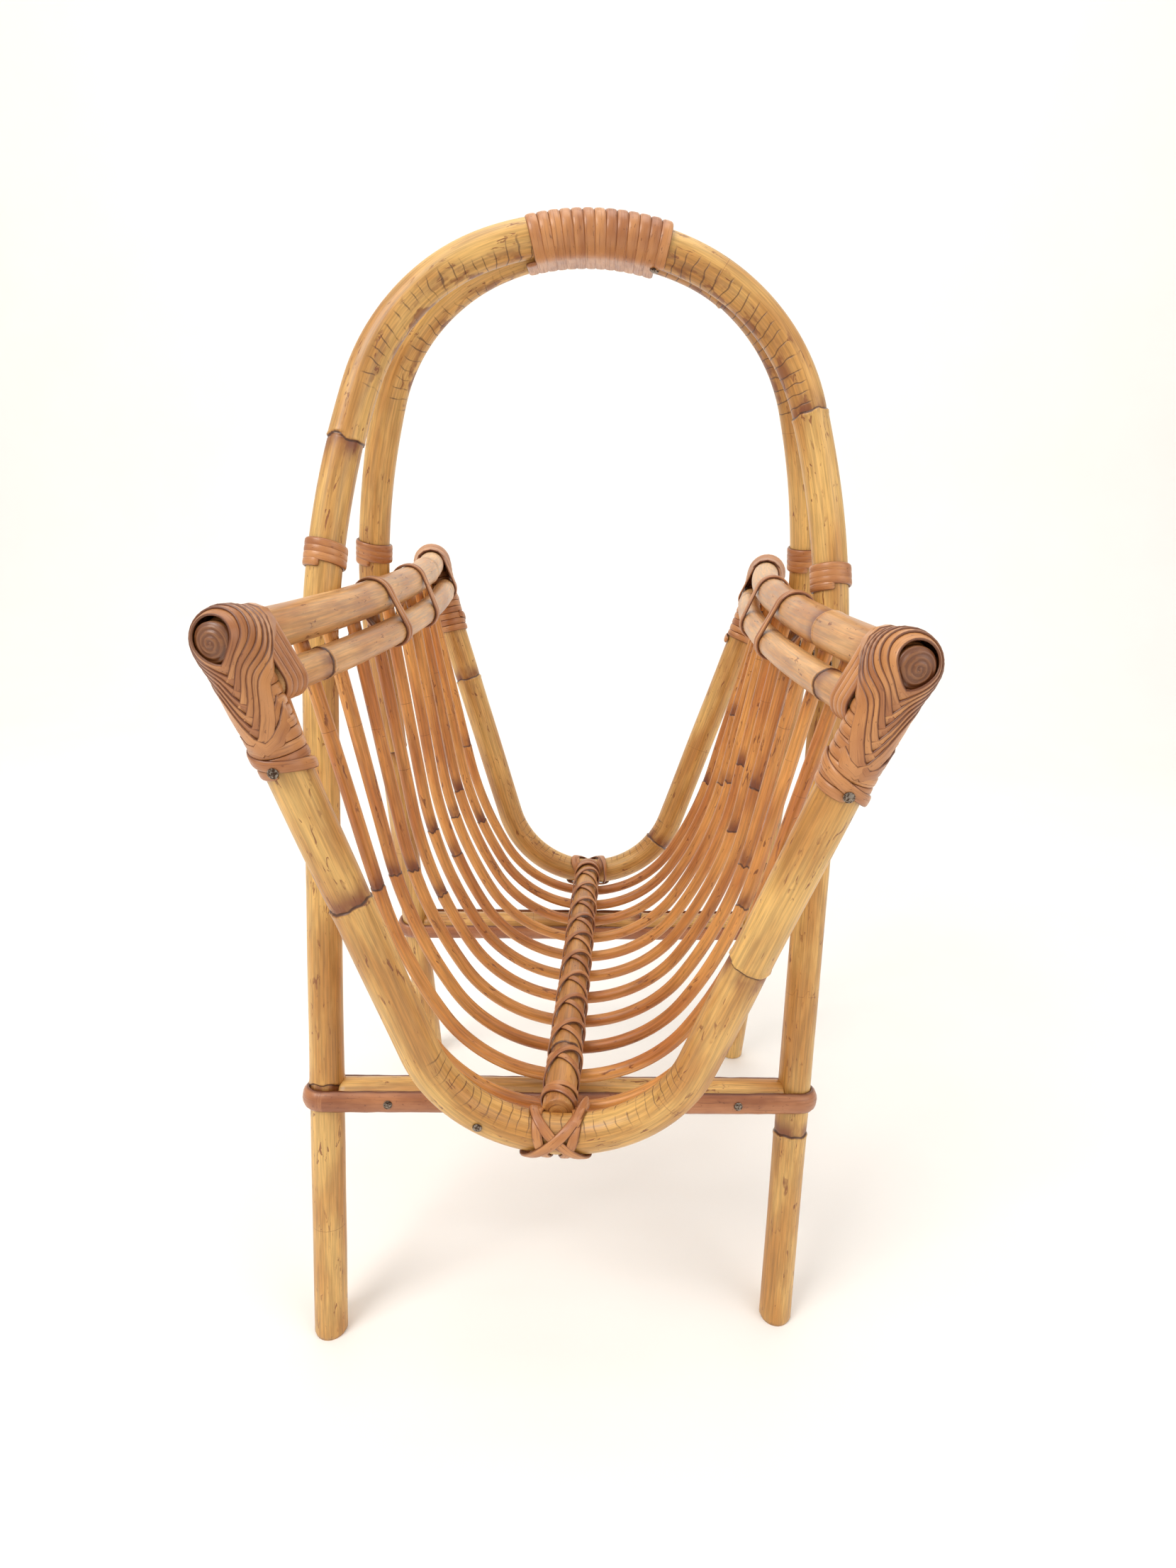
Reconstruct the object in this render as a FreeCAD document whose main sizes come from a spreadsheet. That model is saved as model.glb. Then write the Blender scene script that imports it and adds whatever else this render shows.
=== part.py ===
import FreeCAD, Part
import math
import os
import Sketcher
from FreeCAD import Placement, Rotation, Vector

# A rattan magazine rack: two bent arches give the legs and the carrying handle, and a U shaped
# basket of thin ribs hangs between them on two pairs of side rails.
# X is across the rack, Y runs from the front hoop to the back hoop, Z is up, and the origin lies
# on the floor in the middle of the four feet.

SIZES = {
    "arch_diameter": 20.0,
    "crown_height": 621.0,
    "crown_reach": 10.15,
    "crown_radius": 150.0,
    "crown_half_angle": 22.0,
    "shoulder_radius": 115.0,
    "shoulder_angle": 51.0,
    "side_radius": 500.0,
    "side_angle": 18.0,
    "foot_reach": 139.5,
    "front_twist": 6.0,
    "back_twist": 3.5,
    "foot_spare": 10.0,
    "upper_rail_diameter": 20.0,
    "lower_rail_diameter": 16.0,
    "rail_height": 429.0,
    "rail_mid_reach": 119.8,
    "rail_bow_radius": 1040.0,
    "rail_end": 203.0,
    "lower_rail_end": 188.0,
    "rail_drop": 19.5,
    "rail_inset": 10.5,
    "hoop_diameter": 21.0,
    "hoop_bottom_height": 167.0,
    "hoop_bottom_reach": 169.5,
    "hoop_top_reach": 196.0,
    "hoop_bend_radius": 74.0,
    "hoop_top_gap": 5.0,
    "spine_diameter": 18.0,
    "spine_height": 174.0,
    "spine_end": 162.0,
    "rib_diameter": 8.0,
    "rib_bay_bottom": 28.25,
    "rib_bay_top": 32.7,
    "rib_bend_radius": 82.0,
    "rib_bend_half_angle": 58.0,
    "rib_flank_radius": 260.0,
    "rib_top_height": 418.6,
    "rib_top_overhang": 4.5,
    "stretcher_diameter": 20.0,
    "stretcher_height": 145.0,
    "strap_width": 13.0,
    "strap_thickness": 4.0,
    "cane_thickness": 2.0,
    "cane_clearance": 0.15,
    "handle_wrap_angle": 31.0,
    "handle_wrap_spread": 0.9,
    "handle_nail_inset_angle": 2.0,
    "collar_width": 17.0,
    "collar_gap": 2.5,
    "binding_reach": 40.2,
    "binding_width": 6.0,
    "cap_thickness": 2.8,
    "cap_tip_reach": 208.5,
    "cap_cone_length": 12.0,
    "cap_tip_radius": 7.0,
    "cap_sleeve_length": 60.0,
    "cap_loops_width": 20.0,
    "cap_loops_reach": 180.0,
    "lacing_thickness": 1.8,
    "lacing_wrap_width": 14.0,
    "lacing_end": 149.0,
    "lacing_rib_spread": 5.0,
    "hoop_lashing_angle": 13.5,
    "hoop_lashing_turn_width": 17.0,
    "hoop_lashing_spine_length": 12.0,
    "hoop_nail_angle": 33.0,
    "corner_nail_inset": 6.0,
    "strap_nail_reach": 103.0,
    "rib_nail_spread": 6.4,
    "nail_head_diameter": 5.0,
    "nail_head_height": 1.2,
    "nail_shank_diameter": 1.8,
    "nail_shank_length": 11.0,
}

RIB_NAMES = ["rib_%02d" % number for number in range(1, 12)]
SIDES = {"left": -1, "right": 1}
ENDS = {"front": -1, "back": 1}

doc = FreeCAD.newDocument("MagazineRack")
sheet = doc.addObject("Spreadsheet::Sheet", "Sizes")
for row, (alias, value) in enumerate(SIZES.items(), start=1):
    sheet.set("A%d" % row, alias.replace("_", " "))
    sheet.set("B%d" % row, str(value))
    sheet.setAlias("B%d" % row, alias)
doc.recompute()


def size(alias):
    """The number that the sheet holds for one driving dimension."""
    return float(sheet.get(alias))


# ---------------------------------------------------------------- derived places

LEAN = math.degrees(math.atan2(size("foot_reach") - size("crown_reach"), size("crown_height")))
CROWN_SLANT = math.hypot(size("foot_reach") - size("crown_reach"), size("crown_height"))


def arch_frame(end):
    """Placement of an arch's own plane: Z runs up the lean, X goes across."""
    lean = Rotation(Vector(1, 0, 0), end * LEAN)
    twist = Rotation(Vector(0, 0, 1), size("front_twist" if end < 0 else "back_twist"))
    return Placement(Vector(0, end * size("foot_reach"), 0), lean.multiply(twist))


CROWN_TURN = math.radians(size("crown_half_angle"))
SHOULDER_TURN = CROWN_TURN + math.radians(size("shoulder_angle"))
SIDE_TURN = SHOULDER_TURN + math.radians(size("side_angle"))
TOE_IN = SIDE_TURN - math.pi / 2


def arch_bend(turned):
    """Half width and drop below the crown where an arch's side arc has turned so far, in radians."""
    crown, shoulder, side = size("crown_radius"), size("shoulder_radius"), size("side_radius")
    across = crown * math.sin(CROWN_TURN)
    across += shoulder * (math.sin(SHOULDER_TURN) - math.sin(CROWN_TURN))
    across += side * (math.sin(turned) - math.sin(SHOULDER_TURN))
    drop = crown * (1 - math.cos(CROWN_TURN))
    drop += shoulder * (math.cos(CROWN_TURN) - math.cos(SHOULDER_TURN))
    drop += side * (math.cos(SHOULDER_TURN) - math.cos(turned))
    return across, drop


def arch_point(slant):
    """Half width of an arch, and its lean from the plane's Z in degrees, at a distance up the slant.

    It holds on the side arc, where the collars and the side rails are.
    """
    shoulder_drop = arch_bend(SHOULDER_TURN)[1]
    fallen = CROWN_SLANT - slant - shoulder_drop
    turned = math.acos(math.cos(SHOULDER_TURN) - fallen / size("side_radius"))
    return arch_bend(turned)[0], 90 - math.degrees(turned)


def leg_spot(height):
    """Half width of an arch's straight leg and its distance up the slant, at a height."""
    slant = height * CROWN_SLANT / size("crown_height")
    across, drop = arch_bend(SIDE_TURN)
    return across - (CROWN_SLANT - drop - slant) * math.tan(TOE_IN), slant


def rail_reach(along):
    """Half distance between the upper rails at a place along the rack: they bow inwards."""
    bow = size("rail_bow_radius")
    return size("rail_mid_reach") + bow - math.sqrt(bow * bow - along * along)


def rail_turn(along):
    """Angle in degrees between an upper rail and the Y axis."""
    return math.degrees(math.asin(along / size("rail_bow_radius")))


STEEPEST = 60
HOOP_RISE = size("rail_height") - size("hoop_bottom_height")
HOOP_LEAN = math.degrees(math.atan2(size("hoop_top_reach") - size("hoop_bottom_reach"), HOOP_RISE))
HOOP_SLANT = math.hypot(size("hoop_top_reach") - size("hoop_bottom_reach"), HOOP_RISE)
HOOP_TOP_REACH = rail_reach(size("hoop_top_reach"))
RIB_HEIGHT = size("spine_height") - size("spine_diameter") / 2 - size("rib_diameter") / 2


def hoop_frame(end):
    """Placement of a hoop's own plane: origin at the bottom of its axis, Z up the lean."""
    place = Vector(0, end * size("hoop_bottom_reach"), size("hoop_bottom_height"))
    return Placement(place, Rotation(Vector(1, 0, 0), -end * HOOP_LEAN))


def settle(low, high, short):
    """Halve an interval until it closes on the value where short(value) turns false."""
    while high - low > 1e-12:
        middle = (low + high) / 2
        if short(middle):
            low = middle
        else:
            high = middle
    return low


def line_angle(radius, reach, height):
    """Angle from upright of the straight that leaves a bottom bend and ends at (reach, height)."""
    def short(angle):
        across = radius * math.cos(angle)
        across += (height - radius * (1 - math.sin(angle))) * math.tan(angle)
        return across < reach

    return math.degrees(settle(0.0, math.radians(STEEPEST), short))


HOOP_LINE_ANGLE = line_angle(size("hoop_bend_radius"), HOOP_TOP_REACH, HOOP_SLANT)


# ---------------------------------------------------------------- drawing helpers

def new_body(name):
    body = doc.addObject("PartDesign::Body", name)
    body.Label = name
    return body


def new_sketch(body, name, role):
    """A sketch on one of the body's own origin planes."""
    plane = [item for item in body.Origin.OriginFeatures if item.Role == role][0]
    sketch = body.newObject("Sketcher::SketchObject", name)
    sketch.AttachmentSupport = [(plane, "")]
    sketch.MapMode = "FlatFace"
    return sketch


def bind(sketch, name, expression, *constraint):
    """Add a sized constraint and tie it to the sheet."""
    index = sketch.addConstraint(Sketcher.Constraint(*constraint))
    sketch.renameConstraint(index, name)
    sketch.setExpression("Constraints." + name, expression)


def lay_path(sketch, start, heading, steps):
    """Draw straights and left hand arcs, each tangent to the one before.

    A step is ("line", length) or ("arc", radius, degrees turned).
    """
    point = Vector(start[0], start[1], 0)
    for number, step in enumerate(steps):
        angle = math.radians(heading)
        if step[0] == "line":
            far = point + Vector(math.cos(angle), math.sin(angle), 0) * step[1]
            sketch.addGeometry(Part.LineSegment(point, far), False)
        else:
            centre = point + Vector(-math.sin(angle), math.cos(angle), 0) * step[1]
            first = angle - math.pi / 2
            last = first + math.radians(step[2])
            circle = Part.Circle(centre, Vector(0, 0, 1), step[1])
            sketch.addGeometry(Part.ArcOfCircle(circle, first, last), False)
            far = centre + Vector(math.cos(last), math.sin(last), 0) * step[1]
            heading += step[2]
        if number:
            sketch.addConstraint(Sketcher.Constraint("Tangent", number - 1, 2, number, 1))
        point = far


def bend_pole(body, spine, diameter):
    """Run a round pole of the named diameter along a finished spine sketch."""
    doc.recompute()
    profile = body.newObject("Sketcher::SketchObject", body.Name + "_section")
    profile.AttachmentSupport = [(spine, "Edge1")]
    profile.MapMode = "NormalToEdge"
    profile.addGeometry(Part.Circle(Vector(0, 0, 0), Vector(0, 0, 1), size(diameter) / 2), False)
    profile.addConstraint(Sketcher.Constraint("Coincident", 0, 3, -1, 1))
    bind(profile, "across", "Sizes." + diameter, "Diameter", 0, size(diameter))
    doc.recompute()
    pipe = body.newObject("PartDesign::AdditivePipe", body.Name + "_pole")
    pipe.Profile = profile
    pipe.Spine = (spine, ["Edge%d" % (number + 1) for number in range(spine.GeometryCount)])
    body.Tip = pipe


def straight_pole(label, role, diameter, length, length_expression):
    """A straight round pole, padded both ways from the origin plane that it crosses."""
    body = new_body(label + "_blank")
    section = new_sketch(body, label + "_section", role)
    section.addGeometry(Part.Circle(Vector(0, 0, 0), Vector(0, 0, 1), size(diameter) / 2), False)
    section.addConstraint(Sketcher.Constraint("Coincident", 0, 3, -1, 1))
    bind(section, "across", "Sizes." + diameter, "Diameter", 0, size(diameter))
    pad = body.newObject("PartDesign::Pad", label + "_length")
    pad.Profile = section
    pad.SideType = "Symmetric"
    pad.Length = length
    pad.setExpression("Length", length_expression)
    body.Tip = pad
    return body


def belt_loop(sketch, name, circles, radius_extra, first):
    """Closed loop of arcs and tangents round a set of circles (x, y, diameter alias), going left."""
    spots = [(x, y, size(alias) / 2 + radius_extra) for x, y, alias in circles]
    count = len(spots)
    headings = []
    for number, (x, y, radius) in enumerate(spots):
        far_x, far_y, far_radius = spots[(number + 1) % count]
        away = math.hypot(far_x - x, far_y - y)
        skew = math.degrees(math.asin((far_radius - radius) / away))
        headings.append(math.degrees(math.atan2(far_y - y, far_x - x)) - skew)
    for number, (x, y, radius) in enumerate(spots):
        before = headings[number - 1] - 90
        turn = (headings[number] - headings[number - 1]) % 360
        circle = Part.Circle(Vector(x, y, 0), Vector(0, 0, 1), radius)
        arc = Part.ArcOfCircle(circle, math.radians(before), math.radians(before + turn))
        sketch.addGeometry(arc, False)
        far_x, far_y, far_radius = spots[(number + 1) % count]
        side = math.radians(headings[number] - 90)
        outward = Vector(math.cos(side), math.sin(side), 0)
        near = Vector(x, y, 0) + outward * radius
        far = Vector(far_x, far_y, 0) + outward * far_radius
        sketch.addGeometry(Part.LineSegment(near, far), False)
    for number, (x, y, alias) in enumerate(circles):
        arc = first + 2 * number
        after = first + (2 * number + 2) % (2 * count)
        sketch.addConstraint(Sketcher.Constraint("Tangent", arc, 2, arc + 1, 1))
        sketch.addConstraint(Sketcher.Constraint("Tangent", arc + 1, 2, after, 1))
        sketch.addConstraint(Sketcher.Constraint("DistanceX", -1, 1, arc, 3, x))
        sketch.addConstraint(Sketcher.Constraint("DistanceY", -1, 1, arc, 3, y))
        name_here = "%s_radius_%d" % (name, number)
        expression = "Sizes.%s / 2 + %s" % (alias, radius_extra)
        bind(sketch, name_here, expression, "Radius", arc, size(alias) / 2 + radius_extra)


def band(label, circles, thickness, width_alias, role="XZ_Plane"):
    """A closed band of even thickness that hugs round poles seen end on."""
    body = new_body(label + "_blank")
    outline = new_sketch(body, label + "_outline", role)
    clearance = size("cane_clearance")
    belt_loop(outline, "outside", circles, clearance + thickness, 0)
    belt_loop(outline, "inside", circles, clearance, 2 * len(circles))
    pad = body.newObject("PartDesign::Pad", label + "_width")
    pad.Profile = outline
    pad.SideType = "Symmetric"
    pad.Length = size(width_alias)
    pad.setExpression("Length", "Sizes." + width_alias)
    body.Tip = pad
    return body


def rod(name, radius, length, place, taper=None):
    """A plain cylinder or cone from place along its own Z, used to build up wraps."""
    kind = "Part::Cylinder" if taper is None else "Part::Cone"
    item = doc.addObject(kind, name)
    if taper is None:
        item.Radius = radius
    else:
        item.Radius1 = radius
        item.Radius2 = taper
    item.Height = length
    item.Placement = place
    return item


def fuse(name, pieces):
    joined = doc.addObject("Part::MultiFuse", name)
    joined.Shapes = pieces
    joined.Refine = True
    return joined


def carve(label, blank, tools):
    """Cut every tool out of the blank; the last cut carries the piece's name."""
    result = blank
    for number, tool in enumerate(tools):
        last = number == len(tools) - 1
        cut = doc.addObject("Part::Cut", label if last else "%s_cut_%d" % (label, number))
        cut.Base = result
        cut.Tool = tool
        result = cut
    result.Label = label
    return result


def aim(place, direction):
    """Placement whose Z points along a direction."""
    return Placement(place, Rotation(Vector(0, 0, 1), direction))


# ---------------------------------------------------------------- poles

def arch_blank(name, end):
    """One arch: two legs, two sides, two shoulders and the crown, bent from one pole."""
    body = new_body(name + "_blank")
    spine = new_sketch(body, name + "_line", "XZ_Plane")
    across, drop = arch_bend(SIDE_TURN)
    leg = (CROWN_SLANT - drop + size("foot_spare")) / math.cos(TOE_IN)
    start = (across - leg * math.sin(TOE_IN), -size("foot_spare"))
    side_arc = ("arc", size("side_radius"), size("side_angle"))
    shoulder_arc = ("arc", size("shoulder_radius"), size("shoulder_angle"))
    crown_arc = ("arc", size("crown_radius"), 2 * size("crown_half_angle"))
    steps = [("line", leg), side_arc, shoulder_arc, crown_arc, shoulder_arc, side_arc, ("line", leg)]
    lay_path(spine, start, 180 - math.degrees(SIDE_TURN), steps)
    for arc, part in ((1, "side"), (2, "shoulder"), (4, "shoulder"), (5, "side")):
        radius = size(part + "_radius")
        turn = math.radians(size(part + "_angle"))
        bind(spine, "%s_radius_%d" % (part, arc), "Sizes.%s_radius" % part, "Radius", arc, radius)
        bind(spine, "%s_turn_%d" % (part, arc), "Sizes.%s_angle * 1 deg" % part, "Angle", arc, turn)
    bind(spine, "crown_radius", "Sizes.crown_radius", "Radius", 3, size("crown_radius"))
    bind(spine, "crown_turn", "2 * Sizes.crown_half_angle * 1 deg", "Angle", 3, 2 * CROWN_TURN)
    spine.addConstraint(Sketcher.Constraint("PointOnObject", 3, 3, -2))
    spine.addConstraint(Sketcher.Constraint("Horizontal", 3, 1, 3, 2))
    slant = "sqrt(pow(Sizes.foot_reach - Sizes.crown_reach; 2) + pow(Sizes.crown_height; 2))"
    centre = slant + " - Sizes.crown_radius"
    bind(spine, "crown_centre", centre, "DistanceY", -1, 1, 3, 3, CROWN_SLANT - size("crown_radius"))
    for leg_end, (line, corner) in enumerate(((0, 1), (6, 2))):
        spare = ("DistanceY", line, corner, -1, 1, size("foot_spare"))
        bind(spine, "foot_spare_%d" % leg_end, "Sizes.foot_spare", *spare)
    bend_pole(body, spine, "arch_diameter")
    body.Placement = arch_frame(end)
    return body


def hoop_blank(name, end):
    """One end hoop: two straight sides and a round bottom, with its tops just under the rails."""
    body = new_body(name + "_blank")
    spine = new_sketch(body, name + "_line", "XZ_Plane")
    radius = size("hoop_bend_radius")
    angle = math.radians(HOOP_LINE_ANGLE)
    top_height = HOOP_SLANT - size("hoop_top_gap")
    top_reach = HOOP_TOP_REACH - size("hoop_top_gap") * math.tan(angle)
    straight = (top_height - radius * (1 - math.sin(angle))) / math.cos(angle)
    bend = ("arc", radius, 180 - 2 * HOOP_LINE_ANGLE)
    steps = [("line", straight), bend, ("line", straight)]
    lay_path(spine, (-top_reach, top_height), HOOP_LINE_ANGLE - 90, steps)
    bind(spine, "bend_radius", "Sizes.hoop_bend_radius", "Radius", 1, radius)
    bind(spine, "bend_centre", "Sizes.hoop_bend_radius", "DistanceY", -1, 1, 1, 3, radius)
    spine.addConstraint(Sketcher.Constraint("PointOnObject", 1, 3, -2))
    for line, corner, side in ((0, 1, -1), (2, 2, 1)):
        spine.addConstraint(Sketcher.Constraint("DistanceX", -1, 1, line, corner, side * top_reach))
        spine.addConstraint(Sketcher.Constraint("DistanceY", -1, 1, line, corner, top_height))
    bend_pole(body, spine, "hoop_diameter")
    body.Placement = hoop_frame(end)
    return body


def rail_blank(name, side, diameter, end_alias, inset, height):
    """A side rail: one long arc in plan, bowed in towards the middle of the rack."""
    body = new_body(name + "_blank")
    spine = new_sketch(body, name + "_line", "XY_Plane")
    radius = size("rail_bow_radius") + inset
    centre = side * (size("rail_mid_reach") + size("rail_bow_radius"))
    half_turn = math.degrees(math.asin(size(end_alias) / radius))
    start = (centre - side * radius * math.cos(math.radians(half_turn)), side * size(end_alias))
    lay_path(spine, start, -90 * side - half_turn, [("arc", radius, 2 * half_turn)])
    bind(spine, "bow_radius", "Sizes.rail_bow_radius + %s" % inset, "Radius", 0, radius)
    spine.addConstraint(Sketcher.Constraint("DistanceX", -1, 1, 0, 3, centre))
    spine.addConstraint(Sketcher.Constraint("PointOnObject", 0, 3, -1))
    for corner, way in ((1, side), (2, -side)):
        alias = "Sizes." + end_alias
        pair = (0, corner, -1, 1) if way < 0 else (-1, 1, 0, corner)
        bind(spine, "end_%d" % corner, alias, "DistanceY", *pair, size(end_alias))
    bend_pole(body, spine, diameter)
    body.Placement = Placement(Vector(0, 0, height), Rotation())
    return body


def rib_line_angle(bend, flank, turned, reach, height):
    """Angle from upright of a rib's straight top, and how high up the straight begins.

    The bottom bend turns as far as turned each way, then a wider flank bend carries on.
    """
    def straight_start(angle):
        return bend + (flank - bend) * math.cos(turned) - flank * math.sin(angle)

    def short(angle):
        across = (bend - flank) * math.sin(turned) + flank * math.cos(angle)
        return across + (height - straight_start(angle)) * math.tan(angle) < reach

    angle = settle(0.0, math.pi / 2 - turned, short)
    return angle, straight_start(angle)


def rib_blank(name, number):
    """A thin rib, a U in a plane that fans out with the hoops; its tops reach under the upper rails."""
    body = new_body(name + "_blank")
    spine = new_sketch(body, name + "_line", "XZ_Plane")
    low, high = number * size("rib_bay_bottom"), number * size("rib_bay_top")
    rise = size("rib_top_height") - RIB_HEIGHT
    height = math.hypot(rise, high - low)
    reach = rail_reach(high) + size("rib_top_overhang")
    bend, flank = size("rib_bend_radius"), size("rib_flank_radius")
    turned = math.radians(size("rib_bend_half_angle"))
    angle, up = rib_line_angle(bend, flank, turned, reach, height)
    straight = (height - up) / math.cos(angle)
    flank_turn = 90 - math.degrees(angle + turned)
    steps = [("line", straight), ("arc", flank, flank_turn), ("arc", bend, 2 * math.degrees(turned))]
    steps += [("arc", flank, flank_turn), ("line", straight)]
    lay_path(spine, (-reach, height), math.degrees(angle) - 90, steps)
    for arc in (1, 3):
        bind(spine, "flank_radius_%d" % arc, "Sizes.rib_flank_radius", "Radius", arc, flank)
    bind(spine, "bend_radius", "Sizes.rib_bend_radius", "Radius", 2, bend)
    bind(spine, "bend_turn", "2 * Sizes.rib_bend_half_angle * 1 deg", "Angle", 2, 2 * turned)
    bind(spine, "bend_centre", "Sizes.rib_bend_radius", "DistanceY", -1, 1, 2, 3, bend)
    spine.addConstraint(Sketcher.Constraint("PointOnObject", 2, 3, -2))
    spine.addConstraint(Sketcher.Constraint("Horizontal", 2, 1, 2, 2))
    for line, corner, side in ((0, 1, -1), (4, 2, 1)):
        spine.addConstraint(Sketcher.Constraint("DistanceX", -1, 1, line, corner, side * reach))
        spine.addConstraint(Sketcher.Constraint("DistanceY", -1, 1, line, corner, height))
    bend_pole(body, spine, "rib_diameter")
    fan = math.degrees(math.atan2(high - low, rise))
    body.Placement = Placement(Vector(0, low, RIB_HEIGHT), Rotation(Vector(1, 0, 0), -fan))
    return body


# ---------------------------------------------------------------- nails

def nail_shape():
    """One round headed nail, point down, with the underside of its head at the origin."""
    head = Part.makeSphere(size("nail_head_diameter"), Vector(0, 0, 0), Vector(0, 0, 1), 0, 90, 360)
    head.translate(Vector(0, 0, size("nail_head_height") - size("nail_head_diameter")))
    rim = Part.makeCylinder(size("nail_head_diameter") / 2, size("nail_head_height"))
    length = size("nail_shank_length")
    shank = Part.makeCylinder(size("nail_shank_diameter") / 2, length, Vector(0, 0, -length))
    return head.common(rim).fuse(shank).removeSplitter()


def nail_group(label, places):
    """Identical nails as one group of separate solids."""
    item = doc.addObject("Part::Feature", label)
    item.Label = label
    shapes = []
    for place in places:
        shape = nail_shape()
        shape.Placement = place
        shapes.append(shape)
    item.Shape = Part.makeCompound(shapes)
    return item


def strap_nail_places():
    """Two nails in the outer run of each strap, one near each leg, into the stretcher."""
    places = []
    for end in ENDS.values():
        local = leg_spot(size("stretcher_height"))[1]
        outward = size("stretcher_diameter") / 2 + size("cane_clearance") + size("strap_thickness")
        for side in SIDES.values():
            spot = Vector(side * size("strap_nail_reach"), end * outward, local)
            places.append(arch_frame(end).multiply(aim(spot, Vector(0, end, 0))))
    return places


def corner_nail_places():
    """One nail at the foot of each corner cap, through the cane and into the hoop."""
    places = []
    for end in ENDS.values():
        for side in SIDES.values():
            down = HOOP_SLANT - size("cap_sleeve_length") + size("corner_nail_inset")
            angle = math.radians(HOOP_LINE_ANGLE)
            across = HOOP_TOP_REACH - (HOOP_SLANT - down) * math.tan(angle)
            outward = size("hoop_diameter") / 2 + size("cap_thickness")
            spot = Vector(side * across, end * outward, down)
            places.append(hoop_frame(end).multiply(aim(spot, Vector(0, end, 0))))
    return places


def hoop_nail_places():
    """One nail in the outer face of each hoop, beside the spine."""
    places = []
    for end in ENDS.values():
        turned = math.radians(size("hoop_nail_angle"))
        radius = size("hoop_bend_radius")
        outward = end * size("hoop_diameter") / 2
        spot = Vector(-radius * math.sin(turned), outward, radius * (1 - math.cos(turned)))
        places.append(hoop_frame(end).multiply(aim(spot, Vector(0, end, 0))))
    return places


def crown_turn():
    """The handle wrap lies half way between the twists of the two arches."""
    twist = (size("front_twist") + size("back_twist")) / 2
    return Placement(Vector(0, 0, 0), Rotation(Vector(0, 0, 1), twist))


def handle_nail_places():
    """One nail at the right hand end of the handle wrap, up into the front arch."""
    turned = math.radians(size("handle_wrap_angle") / 2 - size("handle_nail_inset_angle"))
    inside = size("crown_radius") - size("arch_diameter") / 2
    inside -= size("cane_clearance") + size("cane_thickness")
    centre = size("crown_height") - size("crown_radius")
    spot = Vector(inside * math.sin(turned), -size("crown_reach"), centre + inside * math.cos(turned))
    return [crown_turn().multiply(aim(spot, Vector(-math.sin(turned), 0, -math.cos(turned))))]


def rib_nail_places():
    """A nail from outside through each rib top, at the height of the lower rail."""
    places = []
    for number in range(-5, 6):
        along = number * size("rib_bay_top")
        across = rail_reach(along) + size("rib_nail_spread")
        for side in SIDES.values():
            spot = Vector(side * across, along, size("rail_height") - size("rail_drop"))
            places.append(aim(spot, Vector(side, 0, 0)))
    return places


# ---------------------------------------------------------------- wraps

def strap_blank(name, end):
    """The split cane strap that runs round both legs and both faces of a stretcher."""
    across, slant = leg_spot(size("stretcher_height"))
    circles = [(-across, 0, "arch_diameter"), (across, 0, "arch_diameter")]
    body = band(name, circles, size("strap_thickness"), "strap_width", "XY_Plane")
    body.Placement = arch_frame(end).multiply(Placement(Vector(0, 0, slant), Rotation()))
    return body


def handle_wrap():
    """The cane wound round both crowns as a grip: a belt section turned along the crown bend."""
    name = "handle_wrap"
    body = new_body(name)
    section = new_sketch(body, name + "_outline", "YZ_Plane")
    reach = size("crown_reach") + size("handle_wrap_spread")
    height = size("crown_height")
    circles = [(-reach, height, "arch_diameter"), (reach, height, "arch_diameter")]
    clearance = size("cane_clearance")
    belt_loop(section, "outside", circles, clearance + size("cane_thickness"), 0)
    belt_loop(section, "inside", circles, clearance, 4)
    axis = section.addGeometry(Part.LineSegment(Vector(-1, 0, 0), Vector(1, 0, 0)), True)
    centre = size("crown_height") - size("crown_radius")
    for corner in (1, 2):
        section.addConstraint(Sketcher.Constraint("DistanceY", -1, 1, axis, corner, centre))
        section.addConstraint(Sketcher.Constraint("DistanceX", -1, 1, axis, corner, 2 * corner - 3))
    turn = body.newObject("PartDesign::Revolution", name + "_turn")
    turn.Profile = section
    turn.ReferenceAxis = (section, ["Axis0"])
    turn.Midplane = True
    turn.Angle = size("handle_wrap_angle")
    turn.setExpression("Angle", "Sizes.handle_wrap_angle")
    body.Tip = turn
    body.Placement = crown_turn()
    return body


def collar_blank(name, side, end):
    """The cane turns round an arch just above the rail it is tied to."""
    low = size("rail_height") + size("upper_rail_diameter") / 2 + size("collar_gap")
    slant = low * CROWN_SLANT / size("crown_height")
    across, toe = arch_point(slant + size("collar_width") / 2)
    radius = size("arch_diameter") / 2 + size("cane_thickness")
    lean = math.radians(toe)
    foot_across = across + math.sin(lean) * size("collar_width") / 2
    direction = Vector(-side * math.sin(lean), 0, math.cos(lean))
    place = arch_frame(end).multiply(aim(Vector(side * foot_across, 0, slant), direction))
    return rod(name + "_blank", radius, size("collar_width"), place)


def rail_frame(side, along):
    """Placement on an upper rail's axis, with Y along the rail."""
    turn = Rotation(Vector(0, 0, 1), -side * rail_turn(along))
    return Placement(Vector(side * rail_reach(along), along, size("rail_height")), turn)


def rail_pair(side):
    """The two rails of one side seen end on, as belt circles going left round them."""
    upper = (0, 0, "upper_rail_diameter")
    lower = (-side * size("rail_inset"), -size("rail_drop"), "lower_rail_diameter")
    return [upper, lower]


def binding_blank(name, side, end):
    """The two strands that tie an upper and a lower rail together beside an arch."""
    body = band(name, rail_pair(side), size("cane_thickness"), "binding_width")
    body.Placement = rail_frame(side, end * size("binding_reach"))
    return body


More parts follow.
